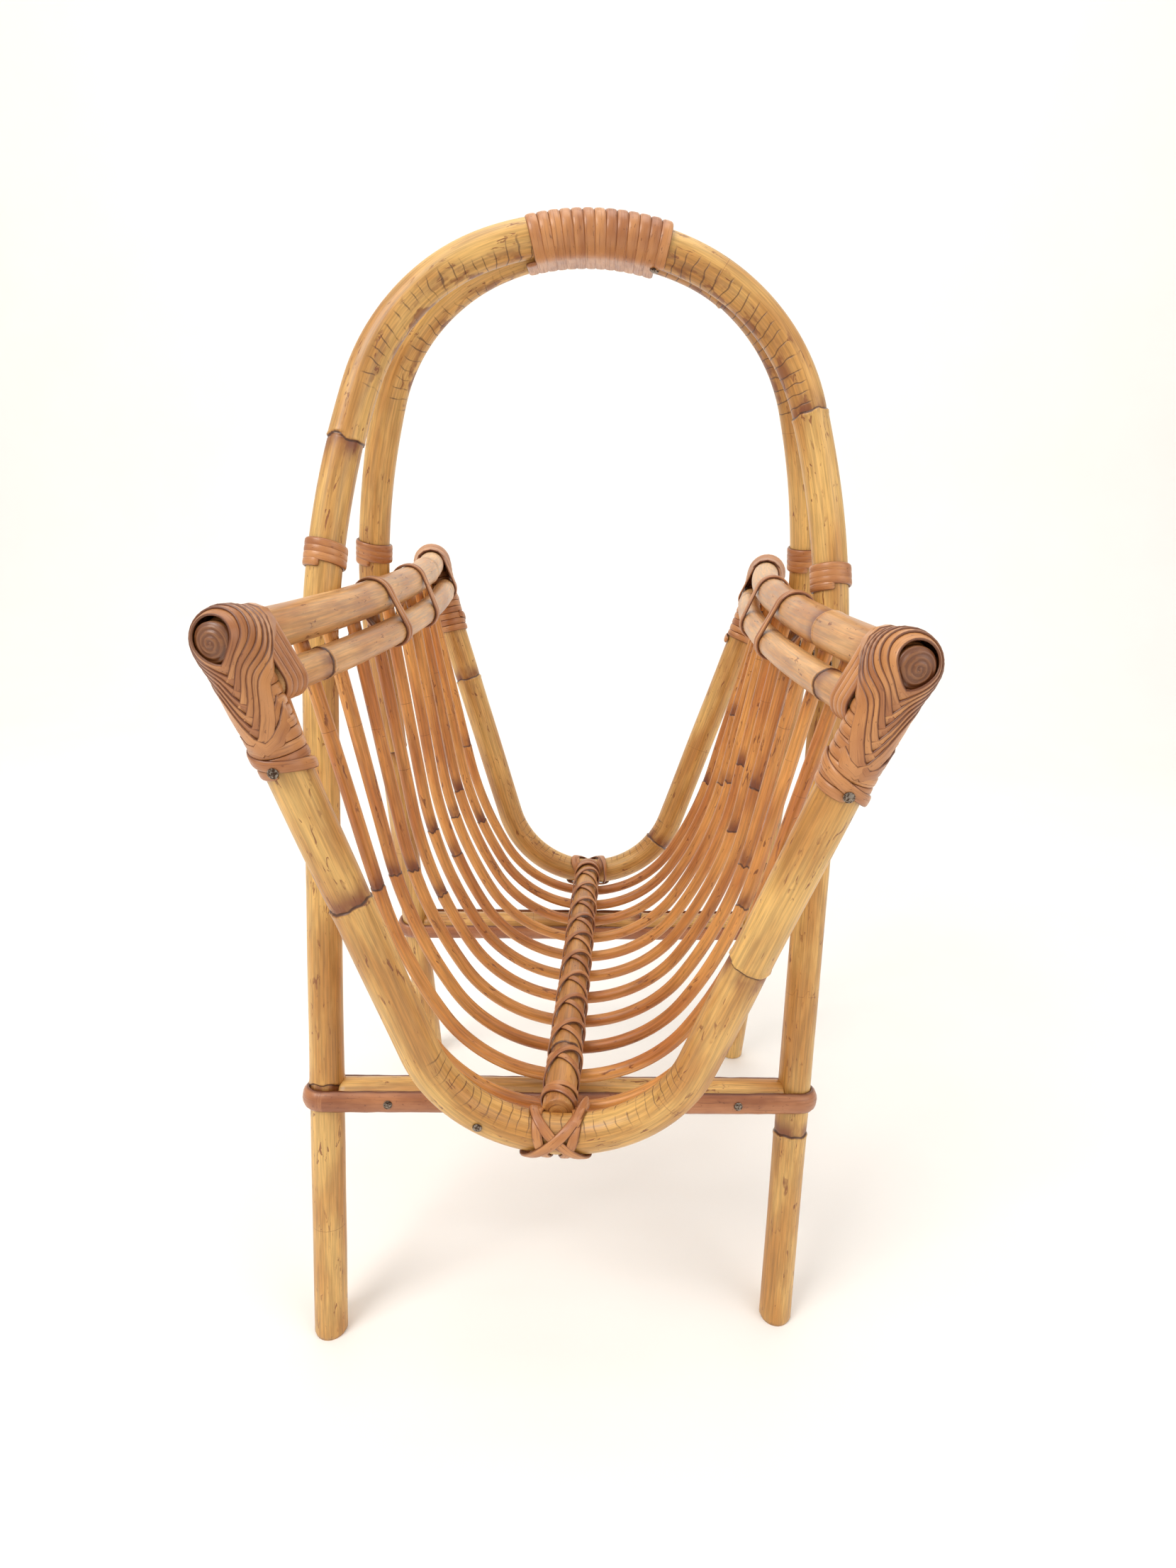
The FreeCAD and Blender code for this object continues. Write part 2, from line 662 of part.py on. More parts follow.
def cap_blank(name, side, end):
    """The woven corner cap: a tip over the rail end, a sleeve down the hoop, loops round both rails."""
    thickness = size("cap_thickness")
    rail_radius = size("upper_rail_diameter") / 2 + thickness
    loops_middle = size("cap_loops_reach")
    loops = band(name + "_loops", rail_pair(side), thickness - size("cane_clearance"), "cap_loops_width")
    loops.Placement = rail_frame(side, end * loops_middle)
    tip_base = size("cap_tip_reach") - size("cap_cone_length")
    base = rail_frame(side, end * tip_base)
    outward = base.Rotation.multVec(Vector(0, end, 0))
    tip_place = aim(base.Base, outward)
    tip_radius = size("cap_tip_radius")
    cone = rod(name + "_tip", rail_radius, size("cap_cone_length"), tip_place, tip_radius)
    start = rail_frame(side, end * (loops_middle - size("cap_loops_width") / 2))
    length = (base.Base - start.Base).Length
    sleeve = rod(name + "_rail_sleeve", rail_radius, length, aim(start.Base, outward))
    top = Vector(side * HOOP_TOP_REACH, 0, HOOP_SLANT)
    angle = math.radians(HOOP_LINE_ANGLE)
    down = Vector(-side * math.sin(angle), 0, -math.cos(angle))
    hoop_radius = size("hoop_diameter") / 2 + thickness
    leg_place = hoop_frame(end).multiply(aim(top, down))
    leg = rod(name + "_hoop_sleeve", hoop_radius, size("cap_sleeve_length"), leg_place)
    return fuse(name + "_blank", [loops, cone, sleeve, leg])


def lacing_blank(name):
    """The cane laced along the spine, with a wrap down round every rib."""
    radius = size("spine_diameter") / 2 + size("lacing_thickness")
    start = Vector(0, -size("lacing_end"), size("spine_height"))
    pieces = [rod(name + "_run", radius, 2 * size("lacing_end"), aim(start, Vector(0, 1, 0)))]
    rib_reach = size("lacing_rib_spread")
    drop = RIB_HEIGHT - size("spine_height")
    for number in range(-5, 6):
        circles = [(0, 0, "spine_diameter")]
        circles += [(-rib_reach, drop, "rib_diameter"), (rib_reach, drop, "rib_diameter")]
        thickness = size("lacing_thickness") - size("cane_clearance")
        wrap = band("%s_wrap_%d" % (name, number + 6), circles, thickness, "lacing_wrap_width")
        spot = Vector(0, number * size("rib_bay_bottom"), size("spine_height"))
        wrap.Placement = Placement(spot, Rotation())
        pieces.append(wrap)
    return fuse(name + "_blank", pieces)


def hoop_lashing_blank(name, end):
    """The cane that ties a hoop's bottom to the end of the spine."""
    radius = size("hoop_diameter") / 2 + size("cane_thickness")
    bend = size("hoop_bend_radius")
    length = size("hoop_lashing_turn_width")
    pieces = []
    for number in (-1, 0, 1):
        turned = number * math.radians(size("hoop_lashing_angle"))
        way = Vector(math.cos(turned), 0, math.sin(turned))
        spot = Vector(bend * math.sin(turned), 0, bend * (1 - math.cos(turned))) - way * (length / 2)
        place = hoop_frame(end).multiply(aim(spot, way))
        pieces.append(rod("%s_turns_%d" % (name, number + 2), radius, length, place))
    inner = end * (size("spine_end") - size("hoop_lashing_spine_length"))
    spine_radius = size("spine_diameter") / 2 + size("cane_thickness")
    place = aim(Vector(0, inner, size("spine_height")), Vector(0, end, 0))
    pieces.append(rod(name + "_spine_turns", spine_radius, size("hoop_lashing_spine_length"), place))
    return fuse(name + "_blank", pieces)


# ---------------------------------------------------------------- assembly

FLOOR_SIDE = 800
FLOOR_DEPTH = 60


def floor_block():
    """Everything under the floor, which trims the feet level."""
    block = doc.addObject("Part::Box", "under_floor")
    block.Length = FLOOR_SIDE
    block.Width = FLOOR_SIDE
    block.Height = FLOOR_DEPTH
    block.Placement = Placement(Vector(-FLOOR_SIDE / 2, -FLOOR_SIDE / 2, -FLOOR_DEPTH), Rotation())
    return block


def build():
    floor = floor_block()
    arch = {word: arch_blank("arch_" + word, end) for word, end in ENDS.items()}
    hoop = {word: hoop_blank("hoop_" + word, end) for word, end in ENDS.items()}
    height = size("rail_height")
    upper = {}
    lower = {}
    low = height - size("rail_drop")
    inset = size("rail_inset")
    for word, side in SIDES.items():
        name = "upper_rail_" + word
        upper[word] = rail_blank(name, side, "upper_rail_diameter", "rail_end", 0.0, height)
        upper[word].Label = name
        name = "lower_rail_" + word
        lower[word] = rail_blank(name, side, "lower_rail_diameter", "lower_rail_end", inset, low)
    length = 2 * size("spine_end")
    spine = straight_pole("spine", "XZ_Plane", "spine_diameter", length, "2 * Sizes.spine_end")
    spine.Placement = Placement(Vector(0, 0, size("spine_height")), Rotation())
    ribs = {name: rib_blank(name, number - 5) for number, name in enumerate(RIB_NAMES)}
    stretcher = {}
    strap = {}
    stretch, slant = leg_spot(size("stretcher_height"))
    stretch -= size("arch_diameter") / 2
    for word, end in ENDS.items():
        name = "stretcher_" + word
        pole = straight_pole(name, "YZ_Plane", "stretcher_diameter", 2 * stretch, str(2 * stretch))
        pole.Placement = arch_frame(end).multiply(Placement(Vector(0, 0, slant), Rotation()))
        stretcher[word] = pole
        strap[word] = strap_blank("strap_" + word, end)
    doc.recompute()

    strap_nails = nail_group("strap_nails", strap_nail_places())
    corner_nails = nail_group("corner_nails", corner_nail_places())
    hoop_nails = nail_group("hoop_nails", hoop_nail_places())
    handle_nail = nail_group("handle_nail", handle_nail_places())
    rib_nails = nail_group("rib_nails", rib_nail_places())
    rails = list(upper.values())
    pieces = [strap_nails, corner_nails, hoop_nails, handle_nail, rib_nails] + rails
    for word, end in ENDS.items():
        more = [handle_nail] if word == "front" else []
        pieces.append(carve("arch_" + word, arch[word], [floor] + rails + more))
        pieces.append(carve("hoop_" + word, hoop[word], rails + [corner_nails, hoop_nails]))
        pieces.append(carve("stretcher_" + word, stretcher[word], [arch[word], strap_nails]))
        pieces.append(carve("strap_" + word, strap[word], [strap_nails]))
        lashing = hoop_lashing_blank("hoop_lashing_" + word, end)
        pieces.append(carve("hoop_lashing_" + word, lashing, [hoop[word], spine]))
        for side_word, side in SIDES.items():
            place = "_%s_%s" % (word, side_word)
            mates = [upper[side_word], lower[side_word]]
            collar = collar_blank("arch_collar" + place, side, end)
            pieces.append(carve("arch_collar" + place, collar, [arch[word], upper[side_word]]))
            binding = binding_blank("rail_binding" + place, side, end)
            pieces.append(carve("rail_binding" + place, binding, [arch[word]]))
            cap = cap_blank("corner_cap" + place, side, end)
            pieces.append(carve("corner_cap" + place, cap, mates + [hoop[word], corner_nails]))
    hoops = list(hoop.values())
    for word in SIDES:
        pieces.append(carve("lower_rail_" + word, lower[word], hoops + [rib_nails]))
    pieces.append(carve("spine", spine, hoops))
    for name in RIB_NAMES:
        pieces.append(carve(name, ribs[name], [rib_nails]))
    lacing = lacing_blank("spine_lacing")
    pieces.append(carve("spine_lacing", lacing, [spine] + list(ribs.values())))
    pieces.append(handle_wrap())
    doc.recompute()
    return pieces


def check(pieces):
    """Stop before anything is written if any object failed."""
    for item in doc.Objects:
        if "Invalid" in item.State or "Error" in item.State:
            raise RuntimeError("%s did not build: %s" % (item.Label, item.State))
    for piece in pieces:
        if piece.Shape.isNull() or not piece.Shape.isValid():
            raise RuntimeError("%s has no valid shape" % piece.Label)
        print("%-28s %2d solids %9.1f mm3" % (piece.Label, len(piece.Shape.Solids), piece.Shape.Volume))


pieces = build()
check(pieces)
os.makedirs("parts", exist_ok=True)
for piece in pieces:
    piece.Shape.exportStep("parts/%s.step" % piece.Label)
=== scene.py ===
"""A rattan magazine rack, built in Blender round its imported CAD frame."""
import math

import bmesh
import bpy
from mathutils import Matrix, Vector, noise


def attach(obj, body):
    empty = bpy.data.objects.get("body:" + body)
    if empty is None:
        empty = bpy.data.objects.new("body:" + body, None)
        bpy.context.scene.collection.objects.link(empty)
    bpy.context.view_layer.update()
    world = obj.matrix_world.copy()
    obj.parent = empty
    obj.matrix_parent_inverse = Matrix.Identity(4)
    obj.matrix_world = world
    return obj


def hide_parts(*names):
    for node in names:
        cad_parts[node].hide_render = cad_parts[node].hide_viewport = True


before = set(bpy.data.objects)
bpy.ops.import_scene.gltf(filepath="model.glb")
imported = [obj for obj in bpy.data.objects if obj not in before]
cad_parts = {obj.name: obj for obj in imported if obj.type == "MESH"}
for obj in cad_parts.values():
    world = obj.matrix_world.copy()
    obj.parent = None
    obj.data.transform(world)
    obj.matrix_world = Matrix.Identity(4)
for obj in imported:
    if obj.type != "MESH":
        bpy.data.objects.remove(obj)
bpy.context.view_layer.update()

# ----- sizes
# Millimetres and degrees, the same driving sizes as the CAD model.

MM = 0.001
ARCH_RADIUS = 10.0
CROWN_HEIGHT = 621.0
CROWN_REACH = 10.15
CROWN_RADIUS = 150.0
CROWN_HALF_ANGLE = 22.0
SHOULDER_RADIUS = 115.0
SHOULDER_ANGLE = 51.0
SIDE_RADIUS = 500.0
SIDE_ANGLE = 18.0
FOOT_REACH = 139.5
FOOT_SPARE = 10.0
TWIST = {-1: 6.0, 1: 3.5}
RAIL_HEIGHT = 429.0
RAIL_MID_REACH = 119.8
RAIL_BOW = 1040.0
UPPER_RAIL_RADIUS = 10.0
UPPER_RAIL_END = 203.0
LOWER_RAIL_RADIUS = 8.0
LOWER_RAIL_END = 188.0
RAIL_DROP = 19.5
RAIL_INSET = 10.5
HOOP_RADIUS = 10.5
HOOP_BOTTOM_HEIGHT = 167.0
HOOP_BOTTOM_REACH = 169.5
HOOP_TOP_REACH_Y = 196.0
HOOP_BEND = 74.0
HOOP_TOP_GAP = 5.0
SPINE_RADIUS = 9.0
SPINE_HEIGHT = 174.0
SPINE_END = 162.0
RIB_RADIUS = 4.0
RIB_BAY_BOTTOM = 28.25
RIB_BAY_TOP = 32.7
RIB_BEND = 82.0
RIB_BEND_HALF_ANGLE = 58.0
RIB_FLANK = 260.0
RIB_TOP_HEIGHT = 418.6
RIB_TOP_OVERHANG = 4.5
STRETCHER_RADIUS = 10.0
STRETCHER_HEIGHT = 145.0
STRAP_WIDTH = 13.0
STRAP_THICKNESS = 4.0
HANDLE_WRAP_ANGLE = 31.0
HANDLE_WRAP_SPREAD = 0.9
HANDLE_TURNS = 13
COLLAR_START = RAIL_HEIGHT + UPPER_RAIL_RADIUS + 2.5
COLLAR_WIDTH = 17.0
COLLAR_TURNS = 3.4
BINDING_REACH = 40.2
LACING_END = 148.8
SNUG = 0.15

SIDES = {"left": -1, "right": 1}
ENDS = {"front": -1, "back": 1}

LEAN = math.atan2(FOOT_REACH - CROWN_REACH, CROWN_HEIGHT)
CROWN_SLANT = math.hypot(FOOT_REACH - CROWN_REACH, CROWN_HEIGHT)
HOOP_RISE = RAIL_HEIGHT - HOOP_BOTTOM_HEIGHT
HOOP_LEAN = math.atan2(HOOP_TOP_REACH_Y - HOOP_BOTTOM_REACH, HOOP_RISE)
HOOP_SLANT = math.hypot(HOOP_TOP_REACH_Y - HOOP_BOTTOM_REACH, HOOP_RISE)
RIB_HEIGHT = SPINE_HEIGHT - SPINE_RADIUS - RIB_RADIUS


def rail_reach(along):
    """Half distance between the upper rails, which bow inwards in the middle."""
    return RAIL_MID_REACH + RAIL_BOW - math.sqrt(RAIL_BOW ** 2 - along ** 2)


HOOP_TOP_REACH = rail_reach(HOOP_TOP_REACH_Y)


def settle(low, high, short):
    """Halve an interval until it closes on where short(value) turns false."""
    for step in range(50):
        middle = (low + high) / 2
        if short(middle):
            low = middle
        else:
            high = middle
    return middle


def hoop_across(angle):
    """How far out a hoop side reaches at the rails if it leaves the bend at this angle."""
    rise = HOOP_SLANT - HOOP_BEND * (1 - math.sin(angle))
    return HOOP_BEND * math.cos(angle) + rise * math.tan(angle)


HOOP_ANGLE = settle(0, math.radians(60), lambda angle: hoop_across(angle) < HOOP_TOP_REACH)


# ----- frames

def turn(degrees, axis):
    return Matrix.Rotation(math.radians(degrees), 4, axis)


UPRIGHT = turn(90, "X")


def arch_frame(end):
    """An arch's own plane: Z up its lean, X across."""
    lean = Matrix.Rotation(end * LEAN, 4, "X")
    return Matrix.Translation((0, end * FOOT_REACH, 0)) @ lean @ turn(TWIST[end], "Z")


def hoop_frame(end):
    """A hoop's own plane: origin at the bottom of its centre line, Z up its lean."""
    move = Matrix.Translation((0, end * HOOP_BOTTOM_REACH, HOOP_BOTTOM_HEIGHT))
    return move @ Matrix.Rotation(-end * HOOP_LEAN, 4, "X")


def rail_frame(side, along):
    """On an upper rail's centre line, with Y along the rail."""
    move = Matrix.Translation((side * rail_reach(along), along, RAIL_HEIGHT))
    return move @ Matrix.Rotation(-side * math.asin(along / RAIL_BOW), 4, "Z")


def along_axis(spot, forward, facing):
    """A frame at spot with Y along forward and Z as near facing as it can be."""
    y = forward.normalized()
    x = y.cross(facing).normalized()
    z = x.cross(y)
    rows = [(x[n], y[n], z[n], spot[n]) for n in range(3)]
    return Matrix(rows + [(0, 0, 0, 1)])


# ----- paths

class Path:
    """Straights and left hand arcs in a plane, each tangent to the last, read by distance along."""

    def __init__(self, start, heading, steps):
        self.parts = []
        self.length = 0.0
        x, y = start
        angle = math.radians(heading)
        for kind, size, turned in steps:
            curve = 1 / size if kind == "arc" else 0.0
            length = size * math.radians(turned) if kind == "arc" else size
            self.parts.append((self.length, length, x, y, angle, curve))
            x, y, angle = self.advance(x, y, angle, curve, length)
            self.length += length

    @staticmethod
    def advance(x, y, angle, curve, length):
        """Place and heading after a length of line or arc."""
        if not curve:
            return x + math.cos(angle) * length, y + math.sin(angle) * length, angle
        after = angle + curve * length
        x += (math.sin(after) - math.sin(angle)) / curve
        y -= (math.cos(after) - math.cos(angle)) / curve
        return x, y, after

    def at(self, travel):
        """Place, heading and curvature at a distance along."""
        for begin, length, x, y, angle, curve in self.parts:
            if travel <= begin + length + 1e-6:
                break
        x, y, angle = self.advance(x, y, angle, curve, travel - begin)
        return x, y, angle, curve


def line(length):
    return ("line", length, 0)


def arch_path():
    """Foot to foot round one arch, with a little to spare below the floor."""
    crown = math.radians(CROWN_HALF_ANGLE)
    shoulder = crown + math.radians(SHOULDER_ANGLE)
    half_turn = shoulder + math.radians(SIDE_ANGLE)
    across = CROWN_RADIUS * math.sin(crown)
    across += SHOULDER_RADIUS * (math.sin(shoulder) - math.sin(crown))
    across += SIDE_RADIUS * (math.sin(half_turn) - math.sin(shoulder))
    fall = CROWN_RADIUS * (1 - math.cos(crown))
    fall += SHOULDER_RADIUS * (math.cos(crown) - math.cos(shoulder))
    fall += SIDE_RADIUS * (math.cos(shoulder) - math.cos(half_turn))
    toe_in = half_turn - math.pi / 2
    leg = (CROWN_SLANT - fall + FOOT_SPARE) / math.cos(toe_in)
    side_arc = ("arc", SIDE_RADIUS, SIDE_ANGLE)
    shoulder_arc = ("arc", SHOULDER_RADIUS, SHOULDER_ANGLE)
    crown_arc = ("arc", CROWN_RADIUS, 2 * CROWN_HALF_ANGLE)
    steps = [line(leg), side_arc, shoulder_arc, crown_arc, shoulder_arc, side_arc, line(leg)]
    start = (across - leg * math.sin(toe_in), -FOOT_SPARE)
    return Path(start, 180 - math.degrees(half_turn), steps)


ARCH = arch_path()


def arch_spot(slant):
    """Half width of an arch and its lean inwards at a distance up the slant."""
    travel = settle(0, ARCH.length / 2, lambda travel: ARCH.at(travel)[1] < slant)
    across, up, heading, curve = ARCH.at(travel)
    return across, heading - math.pi / 2


def hoop_path():
    """Rail to rail round one hoop."""
    top_height = HOOP_SLANT - HOOP_TOP_GAP
    top_reach = HOOP_TOP_REACH - HOOP_TOP_GAP * math.tan(HOOP_ANGLE)
    straight = (top_height - HOOP_BEND * (1 - math.sin(HOOP_ANGLE))) / math.cos(HOOP_ANGLE)
    tilt = math.degrees(HOOP_ANGLE)
    steps = [line(straight), ("arc", HOOP_BEND, 180 - 2 * tilt), line(straight)]
    return Path((-top_reach, top_height), tilt - 90, steps)


def rail_path(side, inset, end):
    """Along one rail, seen from above."""
    radius = RAIL_BOW + inset
    half_turn = math.asin(end / radius)
    centre = side * (RAIL_MID_REACH + RAIL_BOW)
    start = (centre - side * radius * math.cos(half_turn), side * end)
    heading = -90 * side - math.degrees(half_turn)
    return Path(start, heading, [("arc", radius, 2 * math.degrees(half_turn))])


def rib_path(number):
    """From one upper rail down under the spine and up to the other."""
    high = number * RIB_BAY_TOP
    rise = RIB_TOP_HEIGHT - RIB_HEIGHT
    height = math.hypot(rise, high - number * RIB_BAY_BOTTOM)
    reach = rail_reach(high) + RIB_TOP_OVERHANG
    turned = math.radians(RIB_BEND_HALF_ANGLE)

    def top_of_flank(angle):
        up = RIB_BEND + (RIB_FLANK - RIB_BEND) * math.cos(turned) - RIB_FLANK * math.sin(angle)
        across = (RIB_BEND - RIB_FLANK) * math.sin(turned) + RIB_FLANK * math.cos(angle)
        return up, across

    def short(angle):
        up, across = top_of_flank(angle)
        return across + (height - up) * math.tan(angle) < reach

    angle = settle(math.radians(2), math.radians(32), short)
    straight = (height - top_of_flank(angle)[0]) / math.cos(angle)
    flank = ("arc", RIB_FLANK, 90 - math.degrees(angle + turned))
    bend = ("arc", RIB_BEND, 2 * RIB_BEND_HALF_ANGLE)
    steps = [line(straight), flank, bend, flank, line(straight)]
    return Path((-reach, height), math.degrees(angle) - 90, steps)


# ----- meshes

# The joint distance, in millimetres, of a point that has no joint ring near it.
NO_JOINT = 90.0


class Shape:
    """The points, faces and surface data of one piece, given in millimetres, kept in metres.

    Every point has its place in the grain (first number along the fibres), how near it is to
    an edge or cut end (0 to 1), its distance past the nearest joint ring in millimetres, and
    how much it is cracked by a bend (0 to about 1).
    """

    def __init__(self, seed):
        self.seed = seed
        self.spots = []
        self.faces = []
        self.grain = []
        self.edge = []
        self.joint = []
        self.bend = []

    def add(self, spot, grain, edge=0.0, joint=NO_JOINT, bend=0.0):
        """One point; the seed gives each piece its own part of the grain pattern."""
        shift = Vector((0.37, 0.53, 0.71)) * self.seed
        self.spots.append(spot * MM)
        self.grain.append(grain * MM + shift)
        self.edge.append(edge)
        self.joint.append(joint)
        self.bend.append(bend)
        return len(self.spots) - 1

    def skin(self, rings, closed=False):
        """Quads from each ring of points to the next."""
        pairs = list(zip(rings, rings[1:] + rings[:1] if closed else rings[1:]))
        for one, two in pairs:
            count = len(one)
            for n in range(count):
                m = (n + 1) % count
                self.faces.append((one[n], one[m], two[m], two[n]))

    def cap(self, ring, centre):
        """Triangles from a ring to one point."""
        for n in range(len(ring)):
            self.faces.append((ring[n], ring[(n + 1) % len(ring)], centre))


def make_piece(name, shape, material, slot, *nodes):
    """Turn a shape into an object that rides on the rack and stands for its CAD nodes."""
    mesh = bpy.data.meshes.new(name)
    mesh.from_pydata(shape.spots, [], shape.faces)
    grain = mesh.attributes.new("grain", "FLOAT_VECTOR", "POINT")
    grain.data.foreach_set("vector", [value for spot in shape.grain for value in spot])
    for label in ("edge", "joint", "bend"):
        data = mesh.attributes.new(label, "FLOAT", "POINT")
        data.data.foreach_set("value", getattr(shape, label))
    tidy = bmesh.new()
    tidy.from_mesh(mesh)
    bmesh.ops.recalc_face_normals(tidy, faces=tidy.faces)
    tidy.to_mesh(mesh)
    tidy.free()
    mesh.shade_smooth()
    mesh.materials.append(material)
    piece = bpy.data.objects.new(name, mesh)
    bpy.context.scene.collection.objects.link(piece)
    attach(piece, "root")
    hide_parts(*nodes)


# How a pole differs from a plain tube, in millimetres.
POLE_SINK = 0.15  # its skin lies inside the CAD size, so that its waves do too
POLE_ROUGH = 0.22  # height of the waves
CHAMFER = 0.7  # at the cut ends
JOINT_RAGGED = 2.2  # how far a joint ring strays along the pole
JOINT_REACH = 40  # beyond this a joint ring changes nothing
CRACK_RADIUS = 130  # bends this tight or tighter crack most
CUT_GRAIN = 40  # where in the grain the middle of a cut end is
LEAST_STEP = 0.2  # between rings of points
NEAR_JOINT = [step * 0.45 for step in range(-8, 9)] + [-14, -9, -6, 6, 9, 14]


def joint_swell(gap):
    """Radius change at a distance past a joint ring, in mm on a pole of 10 mm radius.

    The pole is thicker beyond the ring and thinner before it, with a lip and a groove between.
    """
    fade = math.exp(-abs(gap) / 9)
    taper = 0.28 * fade if gap > 0 else -0.32 * fade
    lip = 0.3 * math.exp(-(gap - 1.3) ** 2)
    groove = 0.55 * math.exp(-(gap / 0.5) ** 2)
    return taper + lip - groove


def on_floor(path, plane, begin, way):
    """Distance along a path where its centre line meets the floor, near one end."""
    def under(travel):
        x, y = path.at(begin + way * travel)[:2]
        return (plane @ Vector((x, y, 0))).z < 0
    return begin + way * settle(0, 60, under)


def ring_places(first, last, count, joints, dome):
    """Where along a pole it gets a ring of points: evenly, and closer at its ends and joints."""
    marks = [first, first + CHAMFER, last - CHAMFER, last]
    marks += [first + (last - first) * n / count for n in range(1, count)]
    for near in (0.2, 0.4, 0.6, 0.8, 1.0):
        marks += [first + dome * near, last - dome * near]
    for joint, way in joints:
        marks += [joint + near for near in NEAR_JOINT]
    marks = sorted(mark for mark in set(marks) if first <= mark <= last)
    spaced = [marks[0]]
    for mark in marks[1:]:
        if mark - spaced[-1] > LEAST_STEP:
            spaced.append(mark)
    return spaced


def pole(shape, path, plane, radius, joints=(), sides=28, step=4.0, rough=POLE_ROUGH,
         level=False, cracks=1.0, dome=0.0):
    """A rattan pole along a path in a plane, with joint rings, slight waviness and closed ends.

    joints gives each joint ring's distance along and the way to its thick side. level cuts both
    ends off at the floor, cracks scales the cracks inside the bends, and dome is how far back
    from its ends the pole starts to round off.
    """
    first = on_floor(path, plane, 0, 1) if level else 0
    last = on_floor(path, plane, path.length, -1) if level else path.length
    places = ring_places(first, last, int(path.length / step), joints, dome)
    rings = []
    for number, travel in enumerate(places):
        x, y, heading, curve = path.at(travel)
        left = Vector((-math.sin(heading), math.cos(heading), 0))
        forward = plane.to_3x3() @ Vector((math.cos(heading), math.sin(heading), 0))
        tip = number in (0, len(places) - 1)
        inside = dome - min(travel - first, last - travel)
        ring = []
        for n in range(sides):
            angle = 2 * math.pi * n / sides
            inward = math.cos(angle)
            aside = math.sin(angle)
            away = left * inward + Vector((0, 0, 1)) * aside
            lump = Vector((travel * 0.02, 0.8 * inward, 0.8 * aside + shape.seed * 3.1))
            reach = radius - POLE_SINK + rough * noise.noise(lump)
            near = NO_JOINT
            for joint, way in joints:
                ragged = noise.noise(Vector((joint, 1.7 * inward, 1.7 * aside)))
                gap = (travel - joint) * way + JOINT_RAGGED * ragged
                if abs(gap) < JOINT_REACH:
                    reach += joint_swell(gap) * radius / 10
                near = gap if abs(gap) < abs(near) else near
            reach -= CHAMFER if tip else 0.0
            if inside > 0:
                reach = min(reach, math.sqrt(radius ** 2 - inside ** 2))
            spot = plane @ (Vector((x, y, 0)) + away * reach)
            if level and tip:
                spot -= forward * (spot.z / forward.z)
            elif level and spot.z < CHAMFER:
                spot -= forward * ((spot.z - CHAMFER) / forward.z)
            grain = Vector((travel, reach * inward, reach * aside))
            bend = max(0.0, inward + 0.35) * min(1.0, curve * CRACK_RADIUS) * cracks
            ring.append(shape.add(spot, grain, 1.0 if tip else 0.0, near, bend))
        rings.append(ring)
    shape.skin(rings)
    for ring in (rings[0], rings[-1]):
        centre = Vector((0, 0, 0))
        for n in ring:
            centre += shape.spots[n] / (sides * MM)
        grain = Vector((centre.x, CUT_GRAIN, CUT_GRAIN))
        shape.cap(ring, shape.add(centre, grain, 1.0))


def crowned(power):
    """A strip's section, over its round top and back under: 2 is half round, more is flatter."""
    section = []
    for n in range(9):
        turned = math.pi * n / 8
        across = math.cos(math.pi - turned)
        up = math.sin(turned)
        u = math.copysign(abs(across) ** (2 / power), across)
        v = max(0.1, up ** (2 / power))
        section.append((u, v))
    return section + [(0.9, 0.0), (-0.9, 0.0)]


STRIP_OUTLINE = crowned(3)
HALF_ROUND = crowned(2)
FLAT = crowned(6)


def strip(shape, spots, ups, width, thick, closed=False, outline=STRIP_OUTLINE, roll=0.0):
    """A split cane strip whose flat underside follows the spots, with its round side up.

    Open ends are a little narrower and thinner. roll tips the strip about its own length.
    """
    rings = []
    travel = shape.seed * 11.0 + len(shape.spots) * 0.37
    last = len(spots) - 1
    for n, spot in enumerate(spots):
        before = spots[n - 1] if n or closed else spots[0]
        after = spots[(n + 1) % len(spots)] if n < last or closed else spots[last]
        forward = (after - before).normalized()
        up = (ups[n] - forward * ups[n].dot(forward)).normalized()
        across = forward.cross(up)
        if roll:
            up = Matrix.Rotation(roll, 3, forward) @ up
            across = Matrix.Rotation(roll, 3, forward) @ across
        end = not closed and n in (0, last)
        wide = width / 2 * (0.8 if end else 1.0)
        tall = thick * (0.55 if end else 1.0)
        wander = 0.06 * noise.noise(Vector((travel * 0.12, shape.seed, 5.0)))
        ring = []
        for u, v in outline:
            place = spot + across * (u * wide * (1 + wander)) + up * (v * tall)
            grain = Vector((travel, u * wide, v * tall))
            ring.append(shape.add(place, grain, abs(u)))
        rings.append(ring)
        travel += (after - spot).length
    shape.skin(rings, closed)
    if not closed:
        shape.faces.append(tuple(rings[0]))
        shape.faces.append(tuple(reversed(rings[-1])))


def bulges(one, two, three):
    """Whether the way over three points turns left at the second."""
    run = (two[0] - one[0]) * (three[1] - one[1])
    return run - (two[1] - one[1]) * (three[0] - one[0]) > 0


